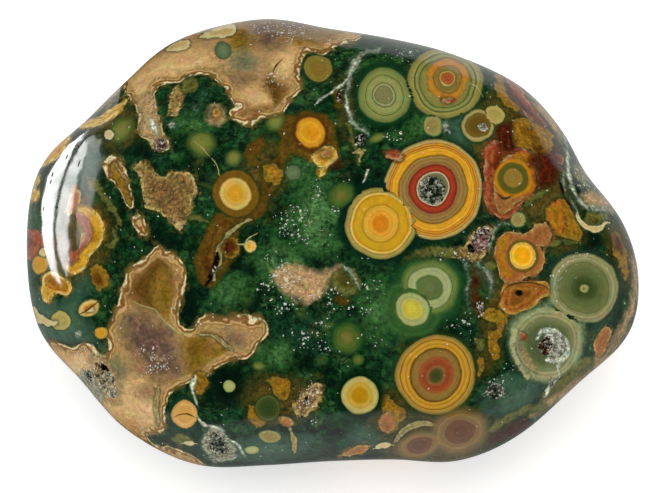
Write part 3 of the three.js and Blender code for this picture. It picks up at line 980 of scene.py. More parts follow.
@dataclass
class FieldPainter:
    """Paints the stone's orbs and patches on the corners of its mesh, as distances.

    Attributes:
        mesh: The stone's mesh.
        surface: The stone's skin.
        seed: Sets what lies on the sides that the chart doesn't show.
        most_hidden: How many orbs lie there at most.
        waver: How strongly patches' outlines waver.
        fray: How strongly the end of a patch that runs over the edge wavers.
    """

    mesh: bpy.types.Mesh
    surface: StoneSurface
    seed: int = 7
    most_hidden: int = 60
    waver: float = 0.22
    fray: float = 2.5
    points: np.ndarray = field(init=False)
    places: np.ndarray = field(init=False)
    cover: np.ndarray = field(init=False)
    wavy: np.ndarray = field(init=False)
    bent: np.ndarray = field(init=False)
    past: np.ndarray = field(init=False)
    tremble: np.ndarray = field(init=False)

    def __post_init__(self) -> None:
        """Reads the mesh's corners and finds their chart places."""
        flat = np.empty(len(self.mesh.vertices) * 3, np.float32)
        self.mesh.vertices.foreach_get("co", flat)
        self.points = flat.reshape(-1, 3).astype(float) / MM
        self.places = self.surface.chart.places(self.points)
        self.cover = self.surface.cover(self.points)
        self.wavy = self.points + np.array(
            [
                noise.noise_vector(Vector(p) / LONG_WAVE) * LONG_SWAY
                + noise.noise_vector(Vector(p) / SHORT_WAVE) * SHORT_SWAY
                for p in self.points
            ]
        )
        self.bent = self.places + (self.wavy - self.points)[:, :2] * self.waver
        self.past = self.cover - WRAP + (self.wavy - self.points)[:, 2] * self.fray
        self.tremble = (self.wavy - self.points) * ORB_SWAY

    def write(self, name: str, values: np.ndarray) -> None:
        """Keeps a value for each corner of the mesh.

        Args:
            name: The attribute's name.
            values: One number, or a row of three, for each corner.
        """
        kind = "FLOAT" if values.ndim == 1 else "FLOAT_VECTOR"
        attribute = self.mesh.attributes.new(name, kind, "POINT")
        key = "value" if values.ndim == 1 else "vector"
        attribute.data.foreach_set(key, values.astype(np.float32).ravel())

    def near(self, low: np.ndarray, high: np.ndarray) -> np.ndarray:
        """Picks the face's corners near a part of the chart.

        Args:
            low: The lowest x and y.
            high: The highest x and y.

        Returns:
            The corners' numbers.
        """
        fits = (self.places > low - NEAR).all(axis=1) & (self.places < high + NEAR).all(axis=1)
        return np.flatnonzero(fits & (self.past < NEAR))

    def patch_depth(self, patch: AnyPatch) -> tuple[np.ndarray, np.ndarray]:
        """Works out one face patch's signed distances.

        Args:
            patch: The patch.

        Returns:
            The numbers of the corners near it, and how far outside it each one lies.
        """
        if isinstance(patch, Spot):
            half = np.array(patch.half)
            middle = np.array(patch.place)
            near = self.near(middle - half.max(), middle + half.max())
            turn = math.radians(patch.turn)
            spin = np.array([[math.cos(turn), -math.sin(turn)], [math.sin(turn), math.cos(turn)]])
            local = (self.bent[near] - middle) @ spin / half
            return near, (np.linalg.norm(local, axis=1) - 1) * half.min()
        if isinstance(patch, Vein):
            route = smooth_curve(np.array(patch.route), False)
            near = self.near(route[:, :2].min(axis=0), route[:, :2].max(axis=0))
            return near, route_gap(self.bent[near], route)[0]
        outline = smooth_curve(np.array(patch.outline), True)
        near = self.near(outline.min(axis=0), outline.max(axis=0))
        line = np.column_stack([outline, np.zeros(len(outline))])
        gap = route_gap(self.bent[near], line)[0]
        return near, np.where(inside(self.bent[near], outline), -gap, gap)

    def union(self, patches: list[AnyPatch]) -> np.ndarray:
        """Joins face patches into one field.

        Args:
            patches: The patches.

        Returns:
            How far outside them each corner lies.
        """
        joined = np.full(len(self.points), ABSENT)
        for patch in patches:
            near, gap = self.patch_depth(patch)
            joined[near] = np.minimum(joined[near], np.maximum(gap, self.past[near]))
        return joined

    def fine_veins(self, veins: list[Vein]) -> np.ndarray:
        """Joins thin veins into one field.

        Args:
            veins: The veins.

        Returns:
            A row for each corner: its signed distance to the nearest vein's centre line, the half-width
            there, and its distance past the edge.
        """
        joined = np.tile([ABSENT, 0.0, ABSENT], (len(self.points), 1))
        for vein in veins:
            route = smooth_curve(np.array(vein.route), False)
            near = self.near(route[:, :2].min(axis=0), route[:, :2].max(axis=0))
            gap, side, width = route_gap(self.bent[near], route)
            gap = np.maximum(gap, self.past[near])
            closer = gap < joined[near, 2]
            rows = np.column_stack([side, width, gap])
            joined[near] = np.where(closer[:, None], rows, joined[near])
        return joined

    def paint_patches(self) -> None:
        """Paints every kind of patch, on the face and on the hidden sides."""
        hidden = self.hidden_patches()
        for kind in PatchKind:
            own = [p for p in FACE_PATCHES if p.kind is kind]
            veins = [p for p in own if isinstance(p, Vein)]
            thin = [v for v in veins if is_thin(v)]
            wide = [p for p in own if p not in thin]
            joined = np.minimum(self.union(wide), hidden.get(kind, ABSENT))
            self.write("patch_" + kind.name.lower(), joined)
            if thin:
                self.write("vein_" + kind.name.lower(), self.fine_veins(thin))
        # The speckles: pale grains, and painted glints among them.
        self.write("speckles_and_glints", self.union(list(SPECKLES_AND_GLINTS)))

    def hidden_patches(self) -> dict[PatchKind, np.ndarray]:
        """Grows patches and veins where the chart doesn't reach.

        Returns:
            How far outside those of each kind each corner lies.
        """
        rng = random.Random(self.seed)
        grown: dict[PatchKind, np.ndarray] = {}
        for name, groups in HIDDEN_PATCHES:
            count, *sizes = sum(groups, ())
            grow = self.hidden_vein if len(sizes) == 1 else self.hidden_patch
            joined = np.full(len(self.points), ABSENT)
            for _ in range(int(count)):
                gap = grow(rng, *sizes)
                if self.cover[gap < CLEAR].min(initial=ABSENT) > CLEAR:
                    joined = np.minimum(joined, gap)
            grown[PatchKind[name]] = joined
        return grown

    def hidden_patch(self, rng: random.Random, small: float, large: float) -> np.ndarray:
        """Grows an oval patch on the hidden sides.

        Args:
            rng: Where its place and its size come from.
            small: The least half of its length, in millimetres.
            large: The greatest.

        Returns:
            How far outside it each corner lies.
        """
        middle = self.hidden_point(rng)
        axes = self.frame_at(middle, rng)
        long = rng.uniform(small, large)
        half = np.array([long, long * rng.uniform(0.35, 0.8), max(long, THIN_END)])
        local = (self.wavy - self.points[middle]) @ axes / half
        return (np.linalg.norm(local, axis=1) - 1) * half[:2].min()

    def hidden_point(self, rng: random.Random) -> int:
        """Picks a corner of the mesh on the sides that the chart doesn't show.

        Args:
            rng: What picks it.

        Returns:
            The corner's number.
        """
        while True:
            corner = rng.randrange(len(self.points))
            if self.cover[corner] > WELL_HIDDEN:
                return corner

    def frame_at(self, corner: int, rng: random.Random) -> np.ndarray:
        """Makes a frame on the skin at a corner, turned at random.

        Args:
            corner: The corner's number.
            rng: Where the turn comes from.

        Returns:
            Two directions in the skin and one out of it, as columns.
        """
        out = self.surface.tree.find_nearest(Vector(self.points[corner]))[1]
        along = out.orthogonal().normalized()
        turned = Matrix.Rotation(rng.uniform(0, math.tau), 3, out) @ along
        return np.column_stack([turned, out.cross(turned), out])

    def hidden_vein(self, rng: random.Random, width: float) -> np.ndarray:
        """Lets a vein wander over the hidden sides.

        Args:
            rng: Where its turns come from.
            width: Half its width, in millimetres.

        Returns:
            How far outside it each corner lies.
        """
        start = self.hidden_point(rng)
        place = Vector(self.points[start])
        heading = Vector(self.frame_at(start, rng)[:, 0])
        route = []
        for _ in range(rng.randrange(5, 11)):
            route.append([*place, width * rng.uniform(0.4, 1.5)])
            point, out, _, _ = self.surface.tree.find_nearest(place + heading * VEIN_STEP)
            heading = Matrix.Rotation(rng.uniform(-0.6, 0.6), 3, out) @ (point - place).normalized()
            place = point
        return route_gap(self.wavy, smooth_curve(np.array(route), False))[0]

    def face_orbs(self) -> list[OrbField]:
        """Measures the orbs of the face.

        Returns:
            The orbs, in order.
        """
        found = []
        for orb in FACE_ORBS:
            middle, out = self.surface.at(orb.place)
            turn = math.radians(orb.turn)
            flat = self.places + self.tremble[:, :2] - np.array(orb.place)
            across = flat @ np.array([math.cos(turn), math.sin(turn)]) / orb.radius
            upward = flat @ np.array([-math.sin(turn), math.cos(turn)]) / orb.radius / orb.height
            inward = (self.points - np.array(middle)) @ np.array(out) / (orb.radius * ORB_DEPTH)
            sizes = np.sqrt(across**2 + upward**2 + inward**2)
            sizes[self.cover > WRAP * 2] = ABSENT
            found.append((orb.kind, orb.radius, sizes))
        return found

    def hidden_orbs(self) -> list[OrbField]:
        """Grows orbs where the chart doesn't reach, clear of one another.

        Returns:
            The orbs that found room.
        """
        rng = random.Random(self.seed + 1)
        found: list[OrbField] = []
        middles: list[np.ndarray] = []
        kinds = [k for k in OrbKind if k not in (OrbKind.TOP_INNER, OrbKind.YELLOW_LOBE)]
        for _ in range(self.most_hidden * ORB_TRIES):
            if len(found) >= self.most_hidden:
                break
            middle = self.points[self.hidden_point(rng)]
            kind = rng.choice(kinds)
            usual = [orb.radius for orb in FACE_ORBS if orb.kind is kind]
            radius = rng.choice(usual) * rng.uniform(0.75, 1.15)
            sizes = np.linalg.norm(self.points + self.tremble - middle, axis=1) / radius
            crowded = any(
                np.linalg.norm(middle - other) < (radius + size) * ORB_GAP
                for other, (_, size, _) in zip(middles, found)
            )
            if not crowded and self.cover[sizes < ORB_HALO].min(initial=ABSENT) >= CLEAR:
                middles.append(middle)
                found.append((kind, radius, sizes))
        return found

    def paint_orbs(self) -> None:
        """Paints every kind of orb, as shares of the radius, and how deep the rings lie."""
        share = {kind: np.full(len(self.points), ABSENT) for kind in OrbKind}
        shell = np.full(len(self.points), ABSENT)
        nearest = np.full(len(self.points), ABSENT)
        for kind, radius, sizes in [*self.face_orbs(), *self.hidden_orbs()]:
            share[kind] = np.minimum(share[kind], sizes)
            shell = np.where(sizes < np.minimum(nearest, 1.0), sizes * radius, shell)
            nearest = np.minimum(nearest, sizes)
        for kind, sizes in share.items():
            pushed = np.maximum(sizes, 1 + (1 - nearest) * ORB_PUSH)
            covered = (sizes > 1) & (nearest < 1)
            self.write("orb_" + kind.name.lower(), np.where(covered, pushed, sizes))
        self.write("orb_shell", shell)


# ---- Finishes ----

Socket = bpy.types.NodeSocket
QUARTZ_INDEX = 1.54  # quartz's index of refraction


@dataclass
class Graph:
    """A material's nodes, made one after another.

    Attributes:
        tree: The material's node tree.
    """

    tree: bpy.types.NodeTree

    def node(self, kind: str, inputs: dict, **settings: object) -> bpy.types.Node:
        """Adds a node.

        Args:
            kind: Blender's name for the node.
            inputs: What goes into its sockets, by name or number: a value or another socket.
            settings: Its other settings.

        Returns:
            The node.
        """
        made = self.tree.nodes.new(kind)
        for name, value in settings.items():
            setattr(made, name, value)
        for key, value in inputs.items():
            if isinstance(value, Socket):
                self.tree.links.new(value, made.inputs[key])
            else:
                made.inputs[key].default_value = value
        return made

    @classmethod
    def material(cls, name: str) -> tuple[bpy.types.Material, "Graph"]:
        """Starts a material.

        Args:
            name: Its name.

        Returns:
            The material, and its nodes, of which there are none yet.
        """
        made = bpy.data.materials.new(name)
        made.use_nodes = True
        made.node_tree.nodes.clear()
        return made, cls(made.node_tree)

    def show(self, shader: bpy.types.Node) -> None:
        """Makes a shader the material's surface."""
        self.node("ShaderNodeOutputMaterial", {"Surface": shader.outputs[0]})

    @classmethod
    def group(cls, name: str, inputs: dict[str, str]) -> tuple["Graph", dict[str, Socket]]:
        """Starts a group of nodes with a colour as its output.

        Args:
            name: The group's name.
            inputs: What goes into it, as Blender's socket types by name.

        Returns:
            The group's nodes, and its inputs by name.
        """
        tree = bpy.data.node_groups.new(name, "ShaderNodeTree")
        for key, kind in inputs.items():
            tree.interface.new_socket(name=key, in_out="INPUT", socket_type=kind)
        tree.interface.new_socket(name="Colour", in_out="OUTPUT", socket_type="NodeSocketColor")
        entry = tree.nodes.new("NodeGroupInput")
        return cls(tree), {key: entry.outputs[key] for key in inputs}

    def math(self, operation: str, *values: float | Socket) -> Socket:
        """Returns the result of a sum on numbers."""
        return self.node("ShaderNodeMath", dict(enumerate(values)), operation=operation).outputs[0]

    def vector(self, operation: str, inputs: dict[int, object]) -> Socket:
        """Returns the result of a sum on rows of three numbers."""
        return self.node("ShaderNodeVectorMath", inputs, operation=operation).outputs[0]

    def metres(self) -> Socket:
        """Returns the place on the object, in metres."""
        return self.node("ShaderNodeTexCoord", {}).outputs["Object"]

    def place(self) -> Socket:
        """Returns the place on the object, in millimetres."""
        return self.vector("SCALE", {0: self.metres(), 3: 1 / MM})

    def fit(self, value: Socket, low: float, high: float, a: float = 0, b: float = 1) -> Socket:
        """Takes a value smoothly from one range into another.

        Args:
            value: The value.
            low: Where the range that it has starts.
            high: Where that range ends.
            a: Where the range that it gets starts.
            b: Where that range ends.

        Returns:
            The value in its new range.
        """
        inputs = {0: value, 1: low, 2: high, 3: a, 4: b}
        made = self.node("ShaderNodeMapRange", inputs, interpolation_type="SMOOTHSTEP", clamp=False)
        return made.outputs[0]

    def mix(self, share: float | Socket, under: Socket, over: Socket | Colour) -> Socket:
        """Returns one colour laid over another."""
        inputs = {0: share, 6: under, 7: over}
        return self.node("ShaderNodeMix", inputs, data_type="RGBA").outputs[2]

    def attribute(self, name: str, output: str = "Fac") -> Socket:
        """Returns what a mesh attribute holds."""
        return self.node("ShaderNodeAttribute", {}, attribute_name=name).outputs[output]

    def noise(self, place: Socket, scale: float, detail: float = 3, rough: float = 0.5) -> Socket:
        """Returns noise of that many lumps to the millimetre, from 0 to 1."""
        inputs = {"Vector": place, "Scale": scale, "Detail": detail, "Roughness": rough}
        return self.node("ShaderNodeTexNoise", inputs).outputs["Fac"]

    def ramp(self, value: Socket, stops: tuple[Stop, ...], low: float, high: float) -> bpy.types.Node:
        """Adds a colour ramp.

        Args:
            value: What runs along it.
            stops: Where its colours stand.
            low: The value at its start.
            high: The value at its end.

        Returns:
            The ramp's node, with a colour and an alpha.
        """
        share = self.math("MULTIPLY_ADD", value, 1 / (high - low), -low / (high - low))
        made = self.node("ShaderNodeValToRGB", {0: share})
        elements = made.color_ramp.elements
        for i, (place, code, cover) in enumerate(sorted(stops)):
            where = (place - low) / (high - low)
            element = elements[i] if i < 2 else elements.new(where)
            element.position = where
            element.color = (*linear(code)[:3], cover)
        return made


LAYER_INPUTS = {
    "Under": "NodeSocketColor",
    **dict.fromkeys(("Slow", "Edge", "Fine", "Island", "Blots", "Wear"), "NodeSocketFloat"),
}


@dataclass(frozen=True)
class PolishedJasper:
    """The polished face: deep green chalcedony with everything that grew in it.

    Attributes:
        roughness: Of the polish.
        index: Its index of refraction.
        ground: The green ground, from its darkest place to its lightest.
    """

    roughness: float = 0.09
    index: float = QUARTZ_INDEX
    ground: Bands = Bands(
        ".3:04120b .42:08200f .49:0e3018 .55:174020 .61:26522a .68:376433 .78:527a46"
    )

    ORB_REACH = 1.8  # how many radii an orb's halo may reach
    BAND_SWAY = 2.2  # how far slow waves move an orb's bands, as a multiple of their wander
    BAND_FRAY = 0.12  # how far fine bumps move them, in millimetres
    OUTSIDE = 1.0  # how far outside a patch its layers may start, in millimetres
    DEPTH = 3.0  # how far inside a patch its layers are told apart, in millimetres
    EDGE_SWAY = 3.4  # how far bumps move a patch's edge, as a multiple of its raggedness
    FINE_SWAY = 1.0  # the same for fine bumps
    DRIFT_SWAY = 2.4  # how far slow waves move a patch's layers, as a multiple of its drift
    VEIN_END = 0.4  # how far past its end a thin vein stops, in millimetres

    def make(self) -> bpy.types.Material:
        """Makes the material.

        Returns:
            The material.
        """
        kinds = list(PatchKind)
        orbs = list(OrbKind)
        first = kinds.index(PatchKind.TAN)
        last = kinds.index(PatchKind.CREAM)
        front = orbs.index(OrbKind.YELLOW_LEFT)
        layers = [self.patch_layer(kind) for kind in kinds[:first]]
        layers += [self.orb_layer(kind) for kind in orbs[:front]]
        layers += [self.patch_layer(kind) for kind in kinds[first:last]]
        layers += [self.orb_layer(kind) for kind in orbs[front:]]
        layers += [self.patch_layer(kind) for kind in kinds[last:]]
        material, graph = Graph.material("polished_jasper")
        place = graph.place()
        shared = {
            "Slow": graph.math("SUBTRACT", graph.noise(place, 0.45, 2), 0.5),
            "Edge": graph.math("SUBTRACT", graph.noise(place, 1.1, 4, 0.55), 0.5),
            "Fine": graph.math("SUBTRACT", graph.noise(place, 2.4, 6, 0.7), 0.5),
            "Island": graph.fit(graph.attribute("patch_tan"), -0.75, -1.15),
            "Blots": graph.fit(graph.noise(place, 0.75, 6, 0.62), 0.5, 0.68, 0, 0.8),
            "Wear": graph.fit(graph.noise(place, 0.9, 4, 0.6), 0.46, 0.58),
        }
        colour = self.green(graph, place)
        for layer in layers:
            inputs = {"Under": colour, **shared}
            colour = graph.node("ShaderNodeGroup", inputs, node_tree=layer).outputs[0]
        colour = self.rings_and_mottle(graph, place, colour)
        # Pale grains, and painted glints among them, lie over everything.
        colour = graph.mix(self.grains(graph, place), colour, linear("e4e3d4"))
        shader = graph.node("ShaderNodeBsdfPrincipled", {"Base Color": colour, "IOR": self.index})
        self.relief(graph, place, shader)
        graph.show(shader)
        return material

    def green(self, graph: Graph, place: Socket) -> Socket:
        """Colours the green ground, cloudy and mossy, with dark channels through it.

        Args:
            graph: The material's nodes.
            place: The place on the stone, in millimetres.

        Returns:
            The colour.
        """
        broad = graph.noise(place, 0.2, 4, 0.6)
        tangled = graph.noise(place, 0.8, 9, 0.72)
        depth = graph.math("MULTIPLY_ADD", graph.math("SUBTRACT", tangled, broad), 0.62, broad)
        ground = graph.ramp(depth, self.ground.stops, 0, 1).outputs["Color"]
        teal = graph.fit(graph.noise(place, 0.13, 2), 0.5, 0.75, 0, 0.3)
        ground = graph.mix(teal, ground, linear("1e463a"))
        cloud = graph.fit(graph.noise(place, 0.27, 7, 0.66), 0.53, 0.7, 0, 0.7)
        ground = graph.mix(cloud, ground, linear("414b1b"))
        haze = graph.fit(graph.noise(place, 0.36, 8, 0.7), 0.55, 0.72, 0, 0.6)
        ground = graph.mix(haze, ground, linear("55783f"))
        ridge = graph.math("ABSOLUTE", graph.math("SUBTRACT", graph.noise(place, 0.42, 5, 0.6), 0.5))
        channel = graph.fit(ridge, 0.045, 0.0, 0, 0.8)
        return graph.mix(channel, ground, linear("03110b"))

    def orb_layer(self, kind: OrbKind) -> bpy.types.NodeTree:
        """Makes the nodes that lay one kind of orb over what is there.

        Args:
            kind: The kind of orb.

        Returns:
            A group of nodes.
        """
        name = "orb_" + kind.name.lower()
        graph, entry = Graph.group(name, LAYER_INPUTS)
        radii = [orb.radius for orb in FACE_ORBS if orb.kind is kind]
        usual = sum(radii) / len(radii)
        wander = self.BAND_SWAY * kind.value.wander
        share = graph.attribute(name)
        share = graph.math("MULTIPLY_ADD", entry["Slow"], wander / usual, share)
        share = graph.math("MULTIPLY_ADD", entry["Fine"], self.BAND_FRAY / usual, share)
        ramp = graph.ramp(share, kind.value.stops, 0, self.ORB_REACH)
        colour = graph.mix(ramp.outputs["Alpha"], entry["Under"], ramp.outputs["Color"])
        graph.node("NodeGroupOutput", {0: colour})
        return graph.tree

    def patch_layer(self, kind: PatchKind) -> bpy.types.NodeTree:
        """Makes the nodes that lay one kind of patch over what is there.

        Args:
            kind: The kind of patch.

        Returns:
            A group of nodes.
        """
        layers = kind.value
        name = kind.name.lower()
        graph, entry = Graph.group("patch_" + name, LAYER_INPUTS)
        depth = graph.math("MULTIPLY", graph.attribute("patch_" + name), -1)
        if any(isinstance(p, Vein) and p.kind is kind and is_thin(p) for p in FACE_PATCHES):
            row = graph.node("ShaderNodeSeparateColor", {0: graph.attribute("vein_" + name, "Color")})
            side = graph.math("ABSOLUTE", row.outputs[0])
            across = graph.math("SUBTRACT", row.outputs[1], side)
            along = graph.math("SUBTRACT", self.VEIN_END, row.outputs[2])
            depth = graph.math("MAXIMUM", depth, graph.math("MINIMUM", across, along))
        sways = {"Edge": self.EDGE_SWAY, "Fine": self.FINE_SWAY, "Slow": self.EDGE_SWAY}
        for wave, sway in sways.items():
            depth = graph.math("MULTIPLY_ADD", entry[wave], sway * layers.ragged, depth)
        inner = graph.math("MULTIPLY", graph.fit(depth, -0.3, 0.7), entry["Slow"])
        depth = graph.math("MULTIPLY_ADD", inner, self.DRIFT_SWAY * layers.drift, depth)
        ramp = graph.ramp(depth, layers.stops, -self.OUTSIDE, self.DEPTH)
        over = ramp.outputs["Color"]
        if layers.blot:
            blots = graph.math("MULTIPLY", entry["Blots"], graph.fit(depth, 0.05, 0.5))
            over = graph.mix(blots, over, linear(layers.blot))
        if layers.worn:
            worn = graph.math("MULTIPLY", entry["Wear"], graph.fit(depth, 0.28, 0.12))
            over = graph.mix(worn, over, linear(layers.worn))
        if layers.grain > 0:
            light = graph.fit(entry["Fine"], -0.22, 0.22, 1 - layers.grain, 1 + layers.grain * 0.7)
            hue = graph.math("MULTIPLY_ADD", entry["Slow"], 0.04, 0.505)
            inputs = {"Hue": hue, "Value": light, "Color": over}
            over = graph.node("ShaderNodeHueSaturation", inputs).outputs[0]
        cover = ramp.outputs["Alpha"]
        if layers.inside:
            cover = graph.math("MULTIPLY", cover, entry["Island"])
        graph.node("NodeGroupOutput", {0: graph.mix(cover, entry["Under"], over)})
        return graph.tree

    def rings_and_mottle(self, graph: Graph, place: Socket, under: Socket) -> Socket:
        """Adds the orbs' finest rings and a faint mottle all over.

        Args:
            graph: The material's nodes.
            place: The place on the stone, in millimetres.
            under: The colour so far.

        Returns:
            The colour with them.
        """
        shell = graph.attribute("orb_shell")
        fine_rings = graph.node(
            "ShaderNodeTexNoise", {"W": shell, "Scale": 3.8, "Detail": 3}, noise_dimensions="1D"
        )
        on_orb = graph.fit(shell, 7.5, 7.0, 0, 0.8)
        ring = graph.math("MULTIPLY", graph.math("SUBTRACT", fine_rings.outputs[0], 0.5), on_orb)
        grains = graph.math("SUBTRACT", graph.noise(place, 1.6, 8, 0.85), 0.5)
        coarse = graph.fit(graph.noise(place, 0.3, 3), 0.4, 0.62, 0.9, 2.4)
        calmed = graph.fit(shell, 8.0, 7.0, 1.0, 0.5)
        grains = graph.math("MULTIPLY", graph.math("MULTIPLY", grains, coarse), calmed)
        light = graph.math("ADD", graph.math("ADD", grains, 1.0), ring)
        tint = graph.node("ShaderNodeTexNoise", {"Vector": place, "Scale": 0.8, "Detail": 5.0})
        tints = {0: tint.outputs["Color"], 1: (0.45,) * 3, 2: (0.8, 0.79, 0.68)}
        hued = graph.vector("MULTIPLY", {0: under, 1: graph.vector("MULTIPLY_ADD", tints)})
        return graph.vector("SCALE", {0: hued, 3: light})

    def grains(self, graph: Graph, place: Socket) -> Socket:
        """Scatters pale grains, large and small, where the speckled places lie, and a few anywhere.
        Partly they are painted glints, where pits would catch the light.

        Args:
            graph: The material's nodes.
            place: The place on the stone, in millimetres.

        Returns:
            How far they cover what is there, from 0 to 1.
        """
        crowd = graph.fit(graph.attribute("speckles_and_glints"), 0.7, -0.7)
        stray = graph.node("ShaderNodeTexNoise", {"Vector": place, "Scale": 3.0, "Detail": 3.0})
        moved = graph.vector("MULTIPLY_ADD", {0: stray.outputs["Color"], 1: (0.5,) * 3, 2: place})
        patchy = graph.fit(graph.noise(place, 0.9, 3), 0.32, 0.52)
        cover = 0.0
        for scale, crowded, alone, reach in ((1.9, 0.75, 0.0, 0.34), (4.2, 0.8, 0.012, 0.42)):
            cells = graph.node("ShaderNodeTexVoronoi", {"Vector": moved, "Scale": scale})
            chance = graph.node("ShaderNodeSeparateColor", {0: cells.outputs["Color"]})
            wanted = graph.math("MULTIPLY", graph.math("MULTIPLY", crowd, patchy), crowded)
            chosen = graph.math("LESS_THAN", chance.outputs[0], graph.math("ADD", wanted, alone))
            size = graph.math("MULTIPLY_ADD", chance.outputs[1], reach, 0.08)
            inward = graph.math("SUBTRACT", size, cells.outputs["Distance"])
            spot = graph.fit(inward, 0.0, 0.1)
            bright = graph.math("MULTIPLY_ADD", chance.outputs[2], 0.5, 0.5)
            spot = graph.math("MULTIPLY", graph.math("MULTIPLY", chosen, spot), bright)
            cover = graph.math("MAXIMUM", spot, cover)
        return cover

    def relief(self, graph: Graph, place: Socket, shader: bpy.types.Node) -> None:
        """Gives the polish its waviness, and the druse patches their pits.

        Args:
            graph: The material's nodes.
            place: The place on the stone, in millimetres.
            shader: The shader that gets them.
        """
        grain = graph.fit(graph.attribute("patch_grainy"), 0.1, -0.4)
        rough = graph.math("MULTIPLY_ADD", grain, 0.22, self.roughness)
        graph.tree.links.new(rough, shader.inputs["Roughness"])
        waves = graph.noise(place, 0.5, 1)
        pits = graph.fit(graph.noise(place, 2.4, 3, 0.6), 0.5, 0.35)
        pitted = graph.math("MULTIPLY", pits, grain)
        height = graph.math("MULTIPLY_ADD", pitted, -0.4, graph.math("MULTIPLY", waves, 0.06))
        bump = graph.node("ShaderNodeBump", {"Strength": 0.35, "Distance": MM, "Height": height})
        graph.tree.links.new(bump.outputs[0], shader.inputs["Normal"])


@dataclass(frozen=True)
class DruseFinish:
    """The finish of a pocket lined with tiny quartz crystals.

    Attributes:
        name: The material's name.
        dark: Between the crystals: the pocket's own dark colour, deepened as painted shade.
        middle: Of the crystals.
        light: Painted glints on the crystals.
    """

    name: str
    dark: str
    middle: str
    light: str

    def make(self) -> bpy.types.Material:
        """Makes the material.

        Returns:
            The material.
        """
        material, graph = Graph.material(self.name)
        place = graph.place()
        cells = graph.node("ShaderNodeTexVoronoi", {"Vector": place, "Scale": 3.2})
        chance = graph.node("ShaderNodeSeparateColor", {0: cells.outputs["Color"]})
        cloud = graph.math("SUBTRACT", graph.noise(place, 1.4, 4, 0.6), 0.5)
        facet = graph.math("MULTIPLY", chance.outputs[0], 0.8)
        mixed = graph.math("MULTIPLY_ADD", cloud, 1.6, facet)
        # Random cells and clouds run from painted shade between the crystals, through their own colour,
        # to painted glints.
        colours = Bands(f".15:{self.dark} .6:{self.middle} 1:{self.light}")
        colour = graph.ramp(mixed, colours.stops, 0, 1).outputs["Color"]
        height = graph.math("MULTIPLY", cells.outputs["Distance"], -1)
        bump = graph.node("ShaderNodeBump", {"Strength": 0.5, "Distance": 0.1 * MM, "Height": height})
        shader = graph.node(
            "ShaderNodeBsdfPrincipled",
            {"Base Color": colour, "Roughness": 0.22, "IOR": QUARTZ_INDEX, "Normal": bump.outputs[0]},
        )
        graph.show(shader)
        return material


class Druse(Enum):
    """The kinds of lined pocket."""

    # Each lists its dark colour with painted shade, its crystals' colour, and its painted glints.
    GREEN = DruseFinish("green_druse", "141e14", "5a6450", "c3c8af")
    BLACK = DruseFinish("black_druse", "0a0907", "30291e", "96917d")
    RUSTY = DruseFinish("rusty_druse", "28120c", "6e3c23", "be9b7d")
    WHITE = DruseFinish("white_druse", "787864", "c8c8b4", "f5f5eb")
    PINK = DruseFinish("pink_druse", "4b2d23", "a58273", "ebdccd")
    CREAM = DruseFinish("cream_druse", "64502f", "cdb487", "faf5e6")


# ---- The stone ----


def deselect_all() -> None:
    """Leaves nothing selected."""
    bpy.ops.object.select_all(action="DESELECT")


def pick(piece: bpy.types.Object) -> None:
    """Makes one object the only selected and the active one.

    Args:
        piece: The object.
    """
    deselect_all()
    piece.select_set(True)
    bpy.context.view_layer.objects.active = piece


def join(pieces: list[bpy.types.Object]) -> bpy.types.Object:
    """Joins objects into the first of them.

    Args:
        pieces: The objects.

    Returns:
        The first, with all of them in it.
    """
    pick(pieces[0])
    for piece in pieces:
        piece.select_set(True)
    bpy.ops.object.join()
    return bpy.context.object


@dataclass(frozen=True)
class Vug:
    """A pocket that the polished face opens.

    Attributes:
        druse: What lines it.
        place: Its middle on the chart.
        half: Half its width and half its height, in millimetres.
        depth: How deep it goes, in millimetres.
        turn: How far its width is turned, anticlockwise, in degrees.
        points: How many of its crystals stand up as points.
        inner: Whether it opens inside another pocket.
    """

    druse: Druse
    place: Point
    half: Point
    depth: float
    turn: float = 0.0
    points: int = 10
    inner: bool = False


